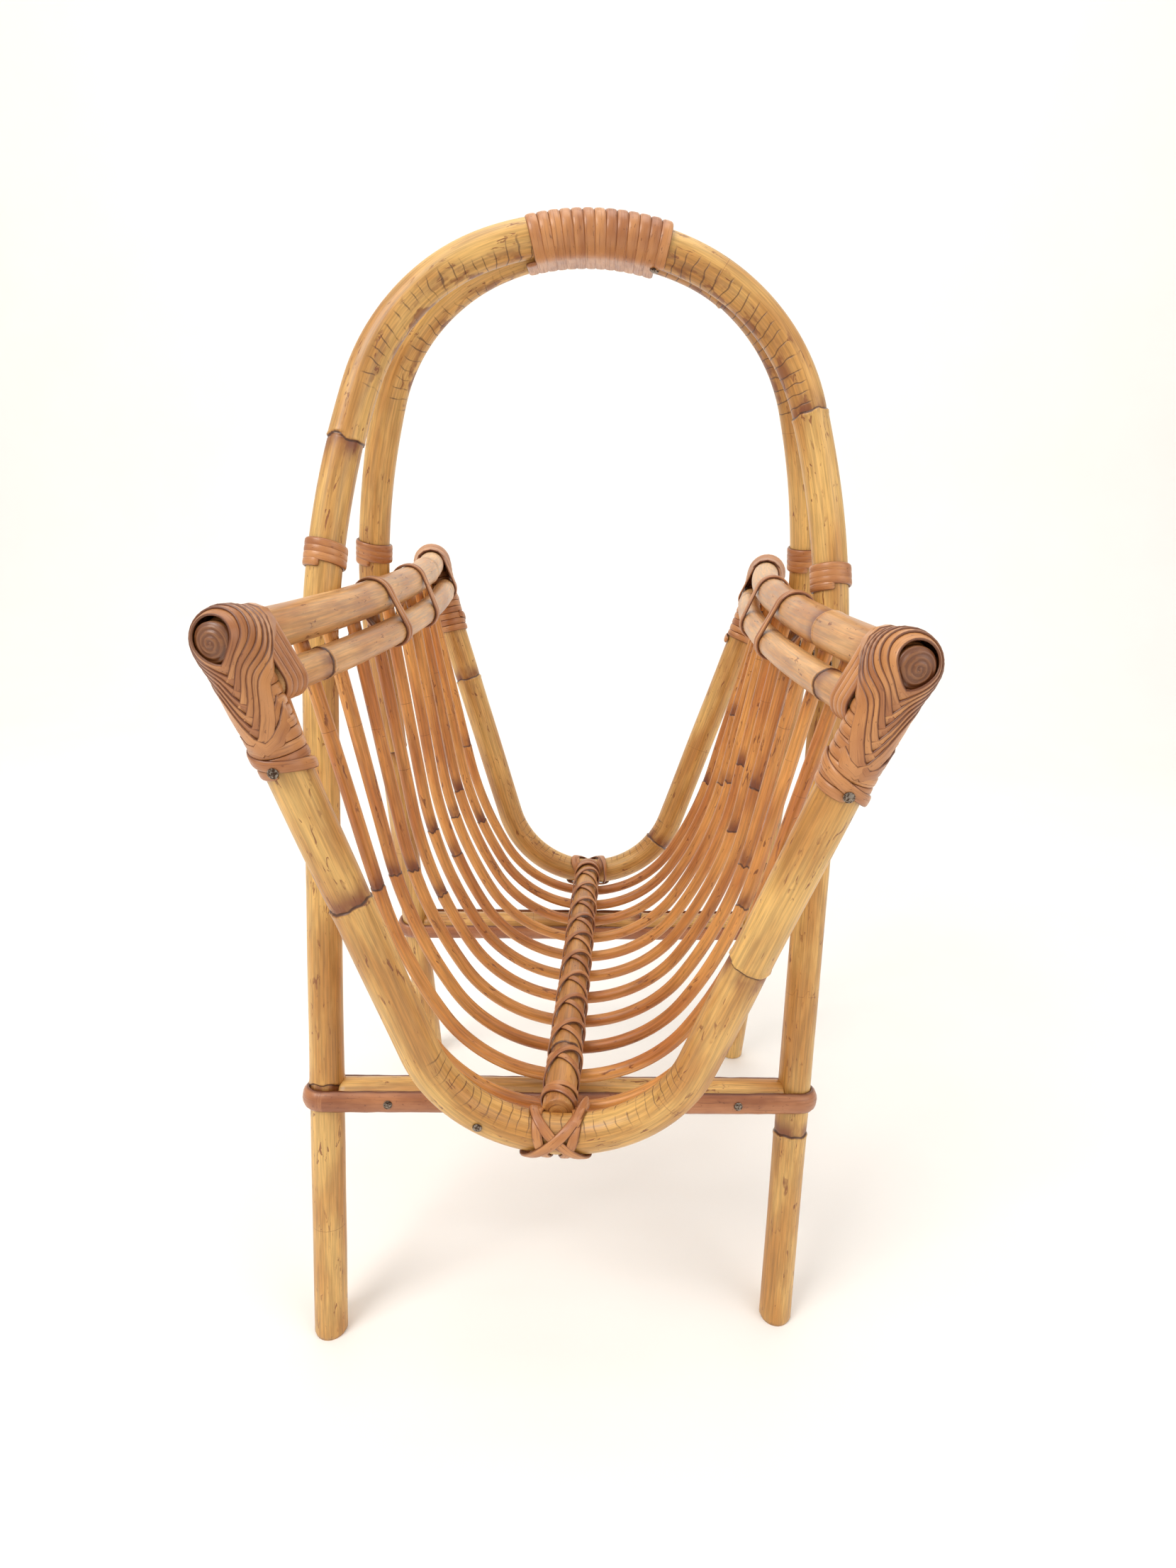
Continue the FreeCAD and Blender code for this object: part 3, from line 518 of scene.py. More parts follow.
def belt(circles, gap, count):
    """Even points round a tight loop about circles (x, z, radius), each with its outward way.

    The first point is the lowest. The loop is the convex outline of the circles.
    """
    dots = []
    for x, z, radius in circles:
        for n in range(240):
            angle = math.pi * n / 120
            reach = radius + gap
            dots.append((x + reach * math.cos(angle), z + reach * math.sin(angle)))
    dots.sort()
    outline = []
    for run in (dots, dots[::-1]):
        half = []
        for dot in run:
            while len(half) > 1 and not bulges(half[-2], half[-1], dot):
                half.pop()
            half.append(dot)
        outline += half[:-1]
    lowest = min(range(len(outline)), key=lambda n: outline[n][1])
    loop = [Vector(dot) for dot in outline[lowest:] + outline[:lowest]]
    lengths = [0.0]
    for n in range(len(loop)):
        lengths.append(lengths[-1] + (loop[(n + 1) % len(loop)] - loop[n]).length)
    spots = []
    part = 0
    for n in range(count):
        want = lengths[-1] * n / count
        while lengths[part + 1] < want:
            part += 1
        share = (want - lengths[part]) / max(1e-9, lengths[part + 1] - lengths[part])
        spots.append(loop[part].lerp(loop[(part + 1) % len(loop)], share))
    ways = []
    for n in range(count):
        run = spots[(n + 1) % count] - spots[n - 1]
        ways.append(Vector((run.y, -run.x)).normalized())
    return list(zip(spots, ways))


def in_frame(matrix):
    """A place function for wraps round something straight: X and Z across, Y along."""
    turned = matrix.to_3x3()
    return lambda x, y, z, way: (matrix @ Vector((x, y, z)), turned @ way)


def wrap(shape, place, circles, gap, along, turns, width, thick, start=0.0, closed=False,
         count=64, top=0.0):
    """A strip wound round circles; along(turns done) says how far along it is.

    start is the share of the loop, from its lowest point, at which it begins, and count is the
    number of points in a turn. The strip stands off by top more at the top of the loop, where
    it lies over other strips.
    """
    loop = belt(circles, gap, count)
    spots = []
    ups = []
    steps = int(round(turns * count))
    for n in range(steps if closed else steps + 1):
        spot, way = loop[int(round(start * count) + n) % count]
        done = n / count
        where, up = place(spot.x, along(done), spot.y, Vector((way.x, 0, way.y)))
        lift = top * math.sin(math.pi * done) ** 4
        spots.append(where + up * lift)
        ups.append(up)
    strip(shape, spots, ups, width, thick, closed)


# ----- materials

def rgb(red, green, blue):
    """A colour as it shows on a screen, 0 to 255, as a shader value."""
    values = []
    for value in (red, green, blue):
        value /= 255
        values.append(value / 12.92 if value < 0.04045 else ((value + 0.055) / 1.055) ** 2.4)
    return tuple(values) + (1.0,)


DARK_LINE = rgb(70, 38, 20)
CRACKS_PER_METRE = 150.0


class Nodes:
    """Short calls for building one material's node tree."""

    def __init__(self, name):
        self.material = bpy.data.materials.new(name)
        self.material.use_nodes = True
        self.tree = self.material.node_tree
        self.shader = self.tree.nodes["Principled BSDF"]

    def node(self, kind, **settings):
        made = self.tree.nodes.new(kind)
        for key, value in settings.items():
            setattr(made, key, value)
        return made

    def feed(self, socket, value):
        """Link a socket, or give it a fixed value."""
        if isinstance(value, bpy.types.NodeSocket):
            self.tree.links.new(value, socket)
        else:
            socket.default_value = value

    def read(self, label, output="Fac"):
        """One of the mesh's own attributes."""
        return self.node("ShaderNodeAttribute", attribute_name=label).outputs[output]

    def math(self, operation, one, two=0.0, three=0.0):
        made = self.node("ShaderNodeMath", operation=operation)
        for socket, value in zip(made.inputs, (one, two, three)):
            self.feed(socket, value)
        return made.outputs[0]

    def scaled(self, vector, scale):
        made = self.node("ShaderNodeVectorMath", operation="MULTIPLY")
        self.feed(made.inputs[0], vector)
        self.feed(made.inputs[1], scale)
        return made.outputs[0]

    def noise(self, vector, scale, detail=3.0, rough=0.55, bent=0.0):
        """Noise with its own scale, per metre, along each number of the vector."""
        made = self.node("ShaderNodeTexNoise")
        self.feed(made.inputs["Vector"], self.scaled(vector, scale))
        made.inputs["Scale"].default_value = 1.0
        made.inputs["Detail"].default_value = detail
        made.inputs["Roughness"].default_value = rough
        made.inputs["Distortion"].default_value = bent
        return made.outputs["Fac"]

    def span(self, value, low, high, first=0.0, last=1.0):
        """A smooth step from first to last as the value goes from low to high."""
        made = self.node("ShaderNodeMapRange", interpolation_type="SMOOTHSTEP")
        limits = {"From Min": low, "From Max": high, "To Min": first, "To Max": last}
        for label, number in limits.items():
            made.inputs[label].default_value = number
        self.feed(made.inputs["Value"], value)
        return made.outputs["Result"]

    def blend(self, amount, one, two):
        made = self.node("ShaderNodeMix", data_type="RGBA")
        self.feed(made.inputs[0], amount)
        self.feed(made.inputs[6], one)
        self.feed(made.inputs[7], two)
        return made.outputs[2]

    def bump(self, height, strength, distance):
        made = self.node("ShaderNodeBump")
        made.inputs["Strength"].default_value = strength
        made.inputs["Distance"].default_value = distance
        self.feed(made.inputs["Height"], height)
        self.feed(self.shader.inputs["Normal"], made.outputs[0])


def pole_material(name, pale, deep, mark, fibres=0.6, flecks=0.62, cracks=True):
    """Peeled and varnished rattan: long fibres, patches, flecks, joint rings and bend cracks.

    fibres is how much the fibres show, and a lower flecks gives more of them.
    """
    m = Nodes(name)
    grain = m.read("grain", "Vector")
    joint = m.read("joint")

    # Two tones in patches, with fine fibres along the pole.
    patch = m.noise(grain, (14, 55, 55), 4)
    fibre = m.noise(grain, (35, 900, 900), 4, 0.6)
    colour = m.blend(m.span(patch, 0.34, 0.66), pale, deep)
    shade = m.span(fibre, 0.3, 0.7, 1 - fibres * 0.45, 1 + fibres * 0.2)
    shaded = m.node("ShaderNodeVectorMath", operation="SCALE")
    m.feed(shaded.inputs[0], colour)
    m.feed(shaded.inputs["Scale"], shade)
    colour = shaded.outputs[0]

    # A brown stain on the thin side of each joint ring.
    stain = m.noise(grain, (60, 130, 130), 3)
    below = m.math("MULTIPLY", m.span(joint, -14, -1, 0, 1), m.span(joint, 0.2, 1.2, 1, 0))
    below = m.math("MULTIPLY", below, m.span(stain, 0.3, 0.6, 0.25, 0.95))
    colour = m.blend(below, colour, mark)

    # Short brown flecks, then the thin dark line of the joint ring.
    fleck = m.noise(grain, (110, 420, 420), 3, 0.55, 0.8)
    fleck = m.math("MULTIPLY", m.span(fleck, flecks, flecks + 0.05), m.span(stain, 0.45, 0.6))
    colour = m.blend(m.math("MULTIPLY", fleck, 0.8), colour, mark)
    gap = m.math("ABSOLUTE", joint)
    ring = m.span(gap, 0.2, 0.8, 1, 0)
    colour = m.blend(m.math("MULTIPLY", ring, 0.85), colour, DARK_LINE)
    height = m.math("MULTIPLY", fibre, 0.35)
    height = m.math("SUBTRACT", height, m.math("MULTIPLY", fleck, 0.5))

    # Rows of cracks across the inner side of a bend, and worn patches where it is tightest.
    if cracks:
        bend = m.read("bend")
        split = m.node("ShaderNodeSeparateXYZ")
        m.feed(split.inputs[0], grain)
        wander = m.noise(grain, (45, 50, 50), 2)
        shift = m.math("MULTIPLY", wander, 1.7)
        row = m.math("MULTIPLY_ADD", split.outputs[0], CRACKS_PER_METRE, shift)
        middle = m.math("ABSOLUTE", m.math("SUBTRACT", m.math("FRACT", row), 0.5))
        where = m.math("MULTIPLY", m.span(bend, 0.3, 0.7), m.span(patch, 0.38, 0.5))
        crack = m.math("MULTIPLY", m.span(middle, 0.02, 0.08, 1, 0), where)
        worn = m.math("MULTIPLY", m.span(bend, 0.75, 1.2), m.span(stain, 0.5, 0.6, 0, 0.75))
        colour = m.blend(worn, colour, mark)
        colour = m.blend(m.math("MULTIPLY", crack, 0.7), colour, DARK_LINE)
        height = m.math("SUBTRACT", height, m.math("MULTIPLY", crack, 0.8))
    m.feed(m.shader.inputs["Base Color"], colour)
    m.feed(m.shader.inputs["Roughness"], m.span(fibre, 0.3, 0.7, 0.36, 0.52))
    m.shader.inputs["Coat Weight"].default_value = 0.25
    m.shader.inputs["Coat Roughness"].default_value = 0.3
    m.bump(height, 0.5, 0.0006)
    return m.material


def cane_material(name, pale, deep, line_colour, fine=1.0):
    """Split cane: fine lines along it, darker edges and small stains; fine scales the lines."""
    m = Nodes(name)
    grain = m.read("grain", "Vector")
    edge = m.read("edge")
    patch = m.noise(grain, (30, 60, 60), 3)
    fibre = m.noise(grain, (60 * fine, 1500 * fine, 900), 3, 0.6)
    speck = m.noise(grain, (350, 700, 700), 2, 0.5, 0.4)
    colour = m.blend(m.span(patch, 0.33, 0.67), pale, deep)
    colour = m.blend(m.span(fibre, 0.52, 0.72, 0, 0.45), colour, line_colour)
    colour = m.blend(m.span(speck, 0.66, 0.72, 0, 0.5), colour, line_colour)
    colour = m.blend(m.span(edge, 0.8, 1.0, 0, 0.85), colour, line_colour)
    m.feed(m.shader.inputs["Base Color"], colour)
    m.feed(m.shader.inputs["Roughness"], m.span(fibre, 0.3, 0.7, 0.34, 0.5))
    m.shader.inputs["Coat Weight"].default_value = 0.3
    m.shader.inputs["Coat Roughness"].default_value = 0.25
    m.bump(fibre, 0.35, 0.0004)
    return m.material


def nail_material():
    """Small iron nails, dark with a worn bright patch and a little rust."""
    m = Nodes("nail_iron")
    spot = m.node("ShaderNodeNewGeometry").outputs["Position"]
    worn = m.noise(spot, (900, 900, 900), 3)
    colour = m.blend(m.span(worn, 0.4, 0.62), rgb(72, 52, 40), rgb(150, 138, 125))
    m.feed(m.shader.inputs["Base Color"], colour)
    m.feed(m.shader.inputs["Roughness"], m.span(worn, 0.3, 0.7, 0.6, 0.35))
    m.shader.inputs["Metallic"].default_value = 0.85
    m.bump(worn, 0.4, 0.0003)
    return m.material


def floor_material():
    """Matt, almost white, with faint clouds."""
    m = Nodes("studio_floor")
    spot = m.node("ShaderNodeNewGeometry").outputs["Position"]
    cloth = m.noise(spot, (6, 6, 6), 4)
    colour = m.blend(cloth, rgb(246, 243, 238), rgb(250, 248, 244))
    m.feed(m.shader.inputs["Base Color"], colour)
    m.shader.inputs["Roughness"].default_value = 0.9
    return m.material


RATTAN = pole_material(
    "rattan_pole", rgb(220, 174, 100), rgb(186, 130, 62), rgb(122, 62, 26), 0.65, 0.6)
RATTAN_RAIL = pole_material(
    "rattan_rail", rgb(218, 168, 108), rgb(180, 122, 68), rgb(116, 60, 30), 0.65)
RATTAN_DEEP = pole_material("rattan_spine", rgb(206, 150, 84), rgb(172, 112, 56), rgb(112, 58, 26))
RIB = pole_material(
    "rattan_rib", rgb(216, 150, 76), rgb(182, 110, 48), rgb(110, 52, 20), 0.65, 0.6, cracks=False)
CANE = cane_material("cane_wrap", rgb(198, 136, 80), rgb(162, 100, 54), rgb(88, 42, 20))
STRAP = cane_material("cane_strap", rgb(180, 118, 74), rgb(144, 84, 48), rgb(90, 44, 24), 0.8)
NAIL = nail_material()


# ----- poles

# Each joint ring's distance along, and the way to its thick side.
ARCH_JOINTS = {
    -1: ((136, -1), (560, -1), (913, -1), (1279, -1)),
    1: ((230, 1), (640, 1), (1120, -1)),
}
HOOP_JOINTS = {
    -1: ((126, 1), (470, 1)),
    1: ((95, 1), (380, -1)),
}
STRETCHER_JOINTS = {-1: ((80, 1),), 1: ((180, 1),)}
SPINE_JOINTS = ((52, 1), (210, -1))


def end_poles(word, end):
    """The arch, hoop and stretcher of one end."""
    shape = Shape(3 + end)
    plane = arch_frame(end) @ UPRIGHT
    pole(shape, ARCH, plane, ARCH_RADIUS, ARCH_JOINTS[end], level=True)
    make_piece("arch_%s_pole" % word, shape, RATTAN, "rattan_pole", "arch_" + word)

    shape = Shape(8 + end)
    plane = hoop_frame(end) @ UPRIGHT
    pole(shape, hoop_path(), plane, HOOP_RADIUS, HOOP_JOINTS[end], cracks=0.5)
    make_piece("hoop_%s_pole" % word, shape, RATTAN, "rattan_pole", "hoop_" + word)

    shape = Shape(12 + end)
    slant = STRETCHER_HEIGHT * CROWN_SLANT / CROWN_HEIGHT
    half = arch_spot(slant)[0] - ARCH_RADIUS * 0.8
    plane = arch_frame(end) @ Matrix.Translation((-half, 0, slant))
    path = Path((0, 0), 0, [line(2 * half)])
    pole(shape, path, plane, STRETCHER_RADIUS, STRETCHER_JOINTS[end])
    make_piece("stretcher_%s_pole" % word, shape, RATTAN, "rattan_pole", "stretcher_" + word)


def side_rails(word, side):
    """The upper and lower rail of one side."""
    shape = Shape(17 + side)
    plane = Matrix.Translation((0, 0, RAIL_HEIGHT))
    path = rail_path(side, 0, UPPER_RAIL_END)
    joints = ((path.length * 0.78, side),)
    pole(shape, path, plane, UPPER_RAIL_RADIUS, joints, cracks=0, dome=6.5)
    name = "upper_rail_" + word
    make_piece(name + "_pole", shape, RATTAN_RAIL, "rattan_rail", name)

    shape = Shape(22 + side)
    plane = Matrix.Translation((0, 0, RAIL_HEIGHT - RAIL_DROP))
    path = rail_path(side, RAIL_INSET, LOWER_RAIL_END)
    joints = ((path.length * 0.12, 1), (path.length * 0.9, -1))
    pole(shape, path, plane, LOWER_RAIL_RADIUS, joints, cracks=0)
    name = "lower_rail_" + word
    make_piece(name + "_pole", shape, RATTAN_RAIL, "rattan_rail", name)


def rib(number):
    """One rib, counted from the middle one; its joint rings stand at uneven places."""
    shape = Shape(40 + number)
    path = rib_path(number)
    fan = math.atan2(number * (RIB_BAY_TOP - RIB_BAY_BOTTOM), RIB_TOP_HEIGHT - RIB_HEIGHT)
    move = Matrix.Translation((0, number * RIB_BAY_BOTTOM, RIB_HEIGHT))
    plane = move @ Matrix.Rotation(-fan, 4, "X") @ UPRIGHT
    share = 0.5 + 0.5 * noise.noise(Vector((number * 1.37, 2.0, 7.0)))
    low = path.length * (0.12 + 0.25 * share)
    high = path.length * (0.62 + 0.3 * share)
    pole(shape, path, plane, RIB_RADIUS, ((low, 1), (high, -1)), sides=18, step=5.0, rough=0.2)
    name = "rib_%02d" % (number + 6)
    make_piece(name + "_pole", shape, RIB, "rattan_rib", name)


def build_poles():
    for word, end in ENDS.items():
        end_poles(word, end)
    for word, side in SIDES.items():
        side_rails(word, side)
    shape = Shape(27)
    path = Path((0, -SPINE_END), 90, [line(2 * SPINE_END)])
    plane = Matrix.Translation((0, 0, SPINE_HEIGHT))
    pole(shape, path, plane, SPINE_RADIUS, SPINE_JOINTS)
    make_piece("spine_pole", shape, RATTAN_DEEP, "rattan_pole", "spine")
    for number in range(-5, 6):
        rib(number)


# ----- wraps

def handle_wrap():
    """Turns of cane side by side round both crowns."""
    shape = Shape(51)
    spread = CROWN_REACH + HANDLE_WRAP_SPREAD
    circles = [(-spread, 0, ARCH_RADIUS), (spread, 0, ARCH_RADIUS)]
    twist = turn((TWIST[-1] + TWIST[1]) / 2, "Z")
    centre = CROWN_HEIGHT - CROWN_RADIUS

    def place(x, y, z, way):
        angle = y / CROWN_RADIUS
        radius = CROWN_RADIUS + z
        spot = Vector((radius * math.sin(angle), x, centre + radius * math.cos(angle)))
        up = Vector((way.z * math.sin(angle), way.x, way.z * math.cos(angle)))
        return twist @ spot, twist.to_3x3() @ up

    length = math.radians(HANDLE_WRAP_ANGLE) * CROWN_RADIUS
    width = length / HANDLE_TURNS * 1.02
    first = -length / 2 + width / 2

    def along(done):
        return first + (length - width) * done / HANDLE_TURNS

    wrap(shape, place, circles, SNUG, along, HANDLE_TURNS, width, 1.9, count=56)
    make_piece("handle_wrap_cane", shape, CANE, "cane_wrap", "handle_wrap")


def arch_collar(side, end, name):
    """Slanting turns round an arch just above the rail."""
    shape = Shape(60 + side * 2 + end)
    slant = COLLAR_START * CROWN_SLANT / CROWN_HEIGHT
    middle = COLLAR_WIDTH / 2
    across, toe = arch_spot(slant + middle)
    base = arch_frame(end) @ Vector((side * (across + math.sin(toe) * middle), 0, slant))
    up = arch_frame(end).to_3x3() @ Vector((-side * math.sin(toe), 0, math.cos(toe)))
    place = in_frame(along_axis(base, up, Vector((0, -1, 0))))
    first = 2.6
    climb = 11.8
    tilt = 1.2

    def along(done):
        return first + climb * done / COLLAR_TURNS + tilt * math.cos(2 * math.pi * done)

    circles = [(0, 0, ARCH_RADIUS)]
    gap = SNUG - 0.1
    wrap(shape, place, circles, gap, along, COLLAR_TURNS, 5.0, 1.7, count=40, start=0.5)
    make_piece(name + "_cane", shape, CANE, "cane_wrap", name)


def rail_circles(side):
    """The two rails of one side seen end on."""
    return [(0, 0, UPPER_RAIL_RADIUS), (-side * RAIL_INSET, -RAIL_DROP, LOWER_RAIL_RADIUS)]


def rail_binding(side, end, name):
    """Two strands over the upper rail and under the lower one, beside an arch."""
    shape = Shape(70 + side * 2 + end)
    place = in_frame(rail_frame(side, end * BINDING_REACH))
    beside = 2.1
    tilt = 3.5
    for strand in (-1, 1):
        def along(done, strand=strand):
            return strand * beside - end * tilt * math.cos(2 * math.pi * done)

        wrap(shape, place, rail_circles(side), SNUG, along, 1, 4.0, 1.7, closed=True, count=72)
    make_piece(name + "_cane", shape, CANE, "cane_wrap", name)


def straps():
    """A half round strap round both legs of each arch."""
    for word, end in ENDS.items():
        shape = Shape(81 + end)
        slant = STRETCHER_HEIGHT * CROWN_SLANT / CROWN_HEIGHT
        across = arch_spot(slant)[0]
        plane = arch_frame(end) @ Matrix.Translation((0, 0, slant)) @ turn(-90, "X")
        place = in_frame(plane)
        circles = [(-across, 0, ARCH_RADIUS), (across, 0, ARCH_RADIUS)]
        spots = []
        ups = []
        for spot, way in belt(circles, SNUG, 200):
            sag = 0.4 * noise.noise(Vector((spot.x * 0.03, end * 2.0, spot.y * 0.02)))
            where, up = place(spot.x, sag, spot.y, Vector((way.x, 0, way.y)))
            spots.append(where)
            ups.append(up)
        strip(shape, spots, ups, STRAP_WIDTH, STRAP_THICKNESS, True, HALF_ROUND)
        make_piece("strap_%s_cane" % word, shape, STRAP, "cane_strap", "strap_" + word)


def spine_lacing():
    """Cane laced along the spine: strips that lead from rib to rib, and leaning rings over them."""
    shape = Shape(91)
    place = in_frame(Matrix.Translation((0, 0, SPINE_HEIGHT)))
    drop = RIB_HEIGHT - SPINE_HEIGHT
    rib_spread = 3.5
    circles = [(0, 0, SPINE_RADIUS)]
    circles += [(-rib_spread, drop, RIB_RADIUS), (rib_spread, drop, RIB_RADIUS)]
    beside = 5.0
    cross_start = 0.22
    cross_share = 0.56

    # Each strip passes under beside one rib, crosses over the spine and goes down before the next.
    for number in range(-5, 5):
        def lead_over(done, number=number):
            share = min(1.0, max(0.0, (done - cross_start) / cross_share))
            share = share * share * (3 - 2 * share)
            return number * RIB_BAY_BOTTOM + beside + (RIB_BAY_BOTTOM - 2 * beside) * share

        wrap(shape, place, circles, SNUG, lead_over, 1, 4.8, 1.2, count=60)

    # Each ring starts under its rib and leans towards the next, more on one side of the spine.
    for number in range(-5, 6):
        reach = RIB_BAY_BOTTOM if number < 5 else 0.3 * RIB_BAY_BOTTOM

        def lean(done, number=number, reach=reach):
            angle = 2 * math.pi * done
            lead = 0.375 - 0.475 * math.cos(angle) + 0.225 * math.sin(angle)
            return number * RIB_BAY_BOTTOM + reach * lead

        wrap(shape, place, circles, SNUG, lean, 1, 4.4, 1.2, closed=True, count=60, top=1.2)
    for spot in (-LACING_END, LACING_END):
        def at_end(done, spot=spot):
            return spot

        wrap(shape, place, circles, SNUG, at_end, 1, 4.2, 1.2, closed=True, count=60)
    make_piece("spine_lacing_cane", shape, CANE, "cane_wrap", "spine_lacing")


def tie(shape, place, end):
    """The end of the lashing, led over the hoop beside the spine and down next to the first rib."""
    begin, up = place(end * 5.6, 11.5, 10.6, Vector((end * 0.45, 0, 0.9)))
    finish = Vector((14.5, end * 146.0, RIB_HEIGHT + 6))
    handles = [begin, begin + Vector((3, -end * 9, 6)), finish + Vector((2, end * 3, 10)), finish]
    finish_up = Vector((0.95, 0, 0.3))
    count = 18
    spots = []
    ups = []
    for n in range(count + 1):
        t = n / count
        u = 1 - t
        weights = (u * u * u, 3 * u * u * t, 3 * u * t * t, t * t * t)
        parts = [handle * weight for handle, weight in zip(handles, weights)]
        spots.append(sum(parts, Vector()))
        ups.append(up.lerp(finish_up, t).normalized())
    strip(shape, spots, ups, 5.6, 1.5)


def hoop_lashing(word, end):
    """Crossed cane round a hoop's bottom, tied to the end of the spine."""
    shape = Shape(101 + end)
    matrix = hoop_frame(end)

    def place(x, y, z, way):
        angle = y / HOOP_BEND
        radius = HOOP_BEND - z
        local = Vector((radius * math.sin(angle), x, HOOP_BEND - radius * math.cos(angle)))
        up = Vector((-way.z * math.sin(angle), way.x, way.z * math.cos(angle)))
        return matrix @ local, matrix.to_3x3() @ up

    circles = [(0, 0, HOOP_RADIUS)]
    near = 3.0
    away = 9.5
    swing = 14.5
    skew = end * 0.42

    def side_turn(way):
        return lambda done: way * (near + away * (0.5 - 0.5 * math.cos(2 * math.pi * done)))

    def cross_turn(way):
        return lambda done: way * swing * math.cos(2 * math.pi * done - skew)

    for way in (-1, 1):
        wrap(shape, place, circles, SNUG, side_turn(way), 1, 5.4, 1.5, closed=True, count=48)
    wrap(shape, place, circles, SNUG + 0.6, cross_turn(1), 1, 5.6, 1.5, closed=True, count=48)
    wrap(shape, place, circles, SNUG + 1.2, cross_turn(-1), 1, 5.8, 1.5, closed=True, count=48)
    tie(shape, place, end)
    spine = in_frame(Matrix.Translation((0, end * (SPINE_END - 8), SPINE_HEIGHT)))
    circles = [(0, 0, SPINE_RADIUS)]

    def round_spine(done):
        return end * 4.0 * math.sin(2 * math.pi * done)

    wrap(shape, spine, circles, SNUG, round_spine, 1, 5.4, 1.5, closed=True, count=44)
    make_piece("hoop_lashing_%s_cane" % word, shape, CANE, "cane_wrap", "hoop_lashing_" + word)


# ----- corner caps

def to_rod(spot, one, two, radius):
    """Distance from a round ended rod."""
    run = two - one
    share = min(1.0, max(0.0, (spot - one).dot(run) / run.length_squared))
    return (spot - one - run * share).length - radius


class Corner:
    """The rounded form under one corner cap: a rail tip run into the top of a hoop."""

    def __init__(self, side, end):
        self.rail_start = rail_frame(side, end * 160).translation
        self.rail_tip = rail_frame(side, end * 196.5).translation
        plane = hoop_frame(end)
        self.hoop_top = plane @ Vector((side * HOOP_TOP_REACH, 0, HOOP_SLANT))
        down = Vector((-side * math.sin(HOOP_ANGLE), 0, -math.cos(HOOP_ANGLE)))
        self.down = plane.to_3x3() @ down
        self.outward = plane.to_3x3() @ Vector((0, end, 0))

    def distance(self, spot):
        """How far outside the form a place is, with a fillet where the rail meets the hoop."""
        rail = to_rod(spot, self.rail_start, self.rail_tip, UPPER_RAIL_RADIUS + 0.3)
        hoop = to_rod(spot, self.hoop_top, self.hoop_top + self.down * 90, HOOP_RADIUS + 0.3)
        fillet = 9.0
        near = max(0.0, fillet - abs(rail - hoop)) / fillet
        return min(rail, hoop) - near * near * fillet / 4

    def surface(self, centre, way, above=0.0):
        """The outermost place along a ray that is no more than above off the form."""
        reach = 34.0
        while reach > 0 and self.distance(centre + way * reach) > above:
            reach -= max(0.05, 0.8 * (self.distance(centre + way * reach) - above))
        return centre + way * reach

    def slope(self, spot):
        """The way straight out of the form."""
        step = 0.3
        here = self.distance(spot)
        axes = (Vector((1, 0, 0)), Vector((0, 1, 0)), Vector((0, 0, 1)))
        rises = [self.distance(spot + axis * step) - here for axis in axes]
        return Vector(rises).normalized()


def cap_loop(shape, corner, side, end, share):
    """One strand from the V line down the front, over the rail tip and back to the V line.

    share goes from 0, round the very tip, to 1, the strand furthest back and lowest down.
    """
    front = corner.surface(corner.hoop_top + corner.down * (10 + 34 * share), corner.outward)
    over = rail_frame(side, end * (201.4 - 24.4 * share)).translation
    top = corner.surface(over, Vector((0, 0, 1)))
    centre = (front + top) / 2
    upward = (top - centre).normalized()
    sideways = rail_frame(side, end * 190).to_3x3() @ Vector((1, 0, 0))
    sideways = (sideways - upward * sideways.dot(upward)).normalized()
    ahead = upward.cross(sideways)
    ahead *= 1 if ahead.y * end > 0 else -1
    spots = []
    ups = []
    count = 46
    past_left = 0.22  # how far each end runs on past the V line, in half turns
    past_right = 0.12
    begin = -math.pi * (1 + past_left)
    swing = math.pi * (2 + past_left + past_right)
    for n in range(count + 1):
        angle = begin + swing * n / count
        part = min(1.0, abs(angle) / math.pi)
        lift = (1.0 + 8.0 * share) * math.sin(math.pi * part * part)
        past = max(0.0, abs(angle) / math.pi - 1.0)
        way = upward * math.cos(angle) + sideways * math.sin(angle)
        above = 0.05 + 1.2 * share - past * 5
        low = corner.surface(centre + ahead * (lift - past * 16), way, above)
        spots.append(low)
        ups.append(corner.slope(low))
    strip(shape, spots, ups, 6.6, 1.2, outline=FLAT, roll=0.15 * end)


def cap_plug(shape, side, end):
    """The coiled end of the cane at the very tip."""
    place = rail_frame(side, end * 204.0)
    rings = []
    sides = 36
    count = 14
    coil_pitch = 2.3
    for step in range(count + 1):
        radius = 8.6 * (1 - step / count) + 0.15
        ring = []
        for n in range(sides):
            angle = 2 * math.pi * n / sides
            coil = math.sin(2 * math.pi * radius / coil_pitch + angle)
            height = 4.0 * math.sqrt(max(0.0, 1 - (radius / 9.2) ** 2)) + 0.3 * coil
            spot = Vector((radius * math.cos(angle), end * height, radius * math.sin(angle)))
            grain = Vector((radius * angle, radius, height))
            ring.append(shape.add(place @ spot, grain, 0.94 if coil > -0.2 else 1.0))
        rings.append(ring)
    base_radius = 8.9
    base = []
    for n in range(sides):
        angle = 2 * math.pi * n / sides
        spot = Vector((base_radius * math.cos(angle), -end * 2.5, base_radius * math.sin(angle)))
        base.append(shape.add(place @ spot, spot, 0.9))
    shape.skin([base] + rings)
    shape.faces.append(tuple(base))
    shape.faces.append(tuple(rings[-1]))


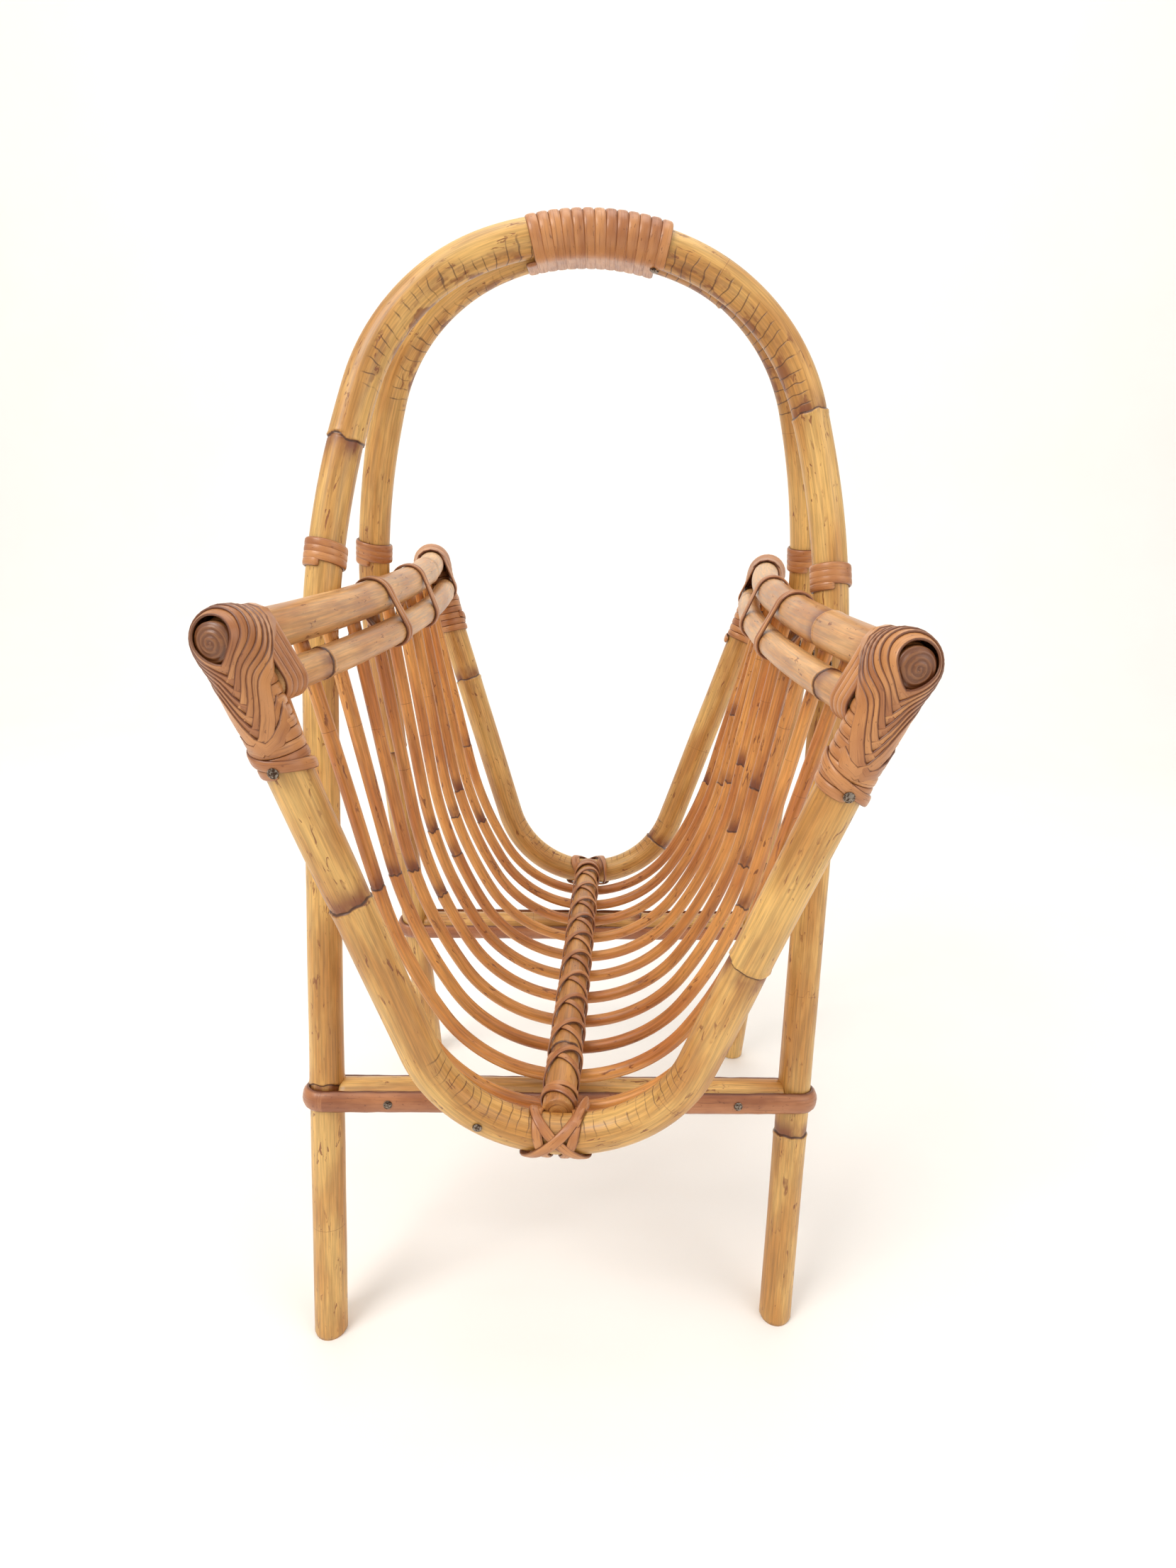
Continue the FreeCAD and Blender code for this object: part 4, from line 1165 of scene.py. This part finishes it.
def corner_cap(side, end, name):
    """A cap of lapping strands, with turns of cane down the hoop and round both rails."""
    shape = Shape(120 + side * 2 + end)
    corner = Corner(side, end)
    strands = 7
    for n in range(strands):
        cap_loop(shape, corner, side, end, n / (strands - 1))
    cap_plug(shape, side, end)
    hoop = in_frame(along_axis(corner.hoop_top, corner.down, corner.outward))
    rails = in_frame(rail_frame(side, end * 181.5))
    circle = [(0, 0, HOOP_RADIUS)]
    loop_pitch = 4.3

    def collar(done):
        return 9 + 4.95 * done

    def tail(done):
        return 46 + 24 * done

    def loops(done):
        slant = -end * 3.0 * math.cos(2 * math.pi * done)
        return end * (loop_pitch * (done - 2)) + slant

    wrap(shape, hoop, circle, SNUG, collar, 10, 5.1, 1.5, count=40, start=0.5)
    wrap(shape, hoop, circle, SNUG + 1.1, tail, 0.66, 5.6, 1.5, count=44, start=0.17)
    wrap(shape, rails, rail_circles(side), SNUG, loops, 4, loop_pitch, 1.6, count=72)
    make_piece(name + "_cane", shape, CANE, "cane_wrap", name)


def build_wraps():
    handle_wrap()
    straps()
    spine_lacing()
    for word, end in ENDS.items():
        hoop_lashing(word, end)
        for side_word, side in SIDES.items():
            place = "_%s_%s" % (word, side_word)
            arch_collar(side, end, "arch_collar" + place)
            rail_binding(side, end, "rail_binding" + place)
            corner_cap(side, end, "corner_cap" + place)


def finish_nails():
    """The CAD nails stay as they are and get their iron."""
    for name in ("strap_nails", "corner_nails", "hoop_nails", "handle_nail", "rib_nails"):
        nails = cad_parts[name]
        for slot in nails.material_slots:
            slot.material = NAIL


# ----- studio

def studio_floor():
    """A plain pale sweep: a floor that curves up into a wall."""
    reach = 3.0
    turn_start = 1.1
    turn_radius = 0.6
    wall_height = 3.5
    count = 16
    outline = [(-reach, 0.0)]
    for n in range(count + 1):
        angle = math.pi / 2 * n / count
        y = turn_start + turn_radius * math.sin(angle)
        outline.append((y, turn_radius * (1 - math.cos(angle))))
    outline.append((turn_start + turn_radius, wall_height))
    spots = [(x, y, z) for y, z in outline for x in (-reach, reach)]
    faces = [(2 * n, 2 * n + 1, 2 * n + 3, 2 * n + 2) for n in range(len(outline) - 1)]
    mesh = bpy.data.meshes.new("studio_floor")
    mesh.from_pydata(spots, [], faces)
    mesh.shade_smooth()
    mesh.materials.append(floor_material())
    floor = bpy.data.objects.new("studio_floor", mesh)
    bpy.context.scene.collection.objects.link(floor)


def soft_light(name, spot, target, size, power, colour=(1, 1, 1)):
    """A square lamp that faces a target, in metres and watts."""
    data = bpy.data.lights.new(name, "AREA")
    data.shape = "SQUARE"
    data.size = size
    data.energy = power
    data.color = colour
    light = bpy.data.objects.new(name, data)
    light.location = spot
    light.rotation_euler = (Vector(target) - Vector(spot)).to_track_quat("-Z", "Y").to_euler()
    bpy.context.scene.collection.objects.link(light)


def lights():
    """Bright even light, strongest from the upper left."""
    bpy.context.scene.view_settings.view_transform = "Standard"
    world = bpy.data.worlds.new("studio")
    world.use_nodes = True
    background = world.node_tree.nodes["Background"]
    background.inputs["Color"].default_value = (1.0, 0.985, 0.96, 1)
    background.inputs["Strength"].default_value = 0.62
    bpy.context.scene.world = world
    soft_light("key", (-1.3, -1.2, 2.1), (0, 0, 0.25), 1.2, 34, (1.0, 0.98, 0.95))
    soft_light("fill", (1.6, -1.0, 1.2), (0, 0, 0.3), 1.5, 10)
    soft_light("wall", (0.0, 0.3, 2.4), (0, 1.2, 0.6), 1.6, 16)


def camera():
    """The camera stands where the photographer did, a little to the right and above.

    Its place is in metres and its angles are in radians.
    """
    data = bpy.data.cameras.new("camera")
    data.sensor_fit = "VERTICAL"
    data.sensor_height = 36.0
    data.lens = 20.34
    eye = Vector((0.0270, -0.5547, 0.4939))
    pitch = 0.3262
    yaw = -0.0405
    roll = 0.0284
    level = math.cos(pitch)
    view = Vector((math.sin(yaw) * level, math.cos(yaw) * level, -math.sin(pitch)))
    right = Vector((math.cos(yaw), -math.sin(yaw), 0))
    up = right.cross(view)
    rolled_right = right * math.cos(roll) + up * math.sin(roll)
    rolled_up = up * math.cos(roll) - right * math.sin(roll)
    rows = [(rolled_right[n], rolled_up[n], -view[n], eye[n]) for n in range(3)]
    item = bpy.data.objects.new("camera", data)
    item.matrix_world = Matrix(rows + [(0, 0, 0, 1)])
    bpy.context.scene.collection.objects.link(item)
    bpy.context.scene.camera = item


build_poles()
build_wraps()
finish_nails()
studio_floor()
lights()
camera()
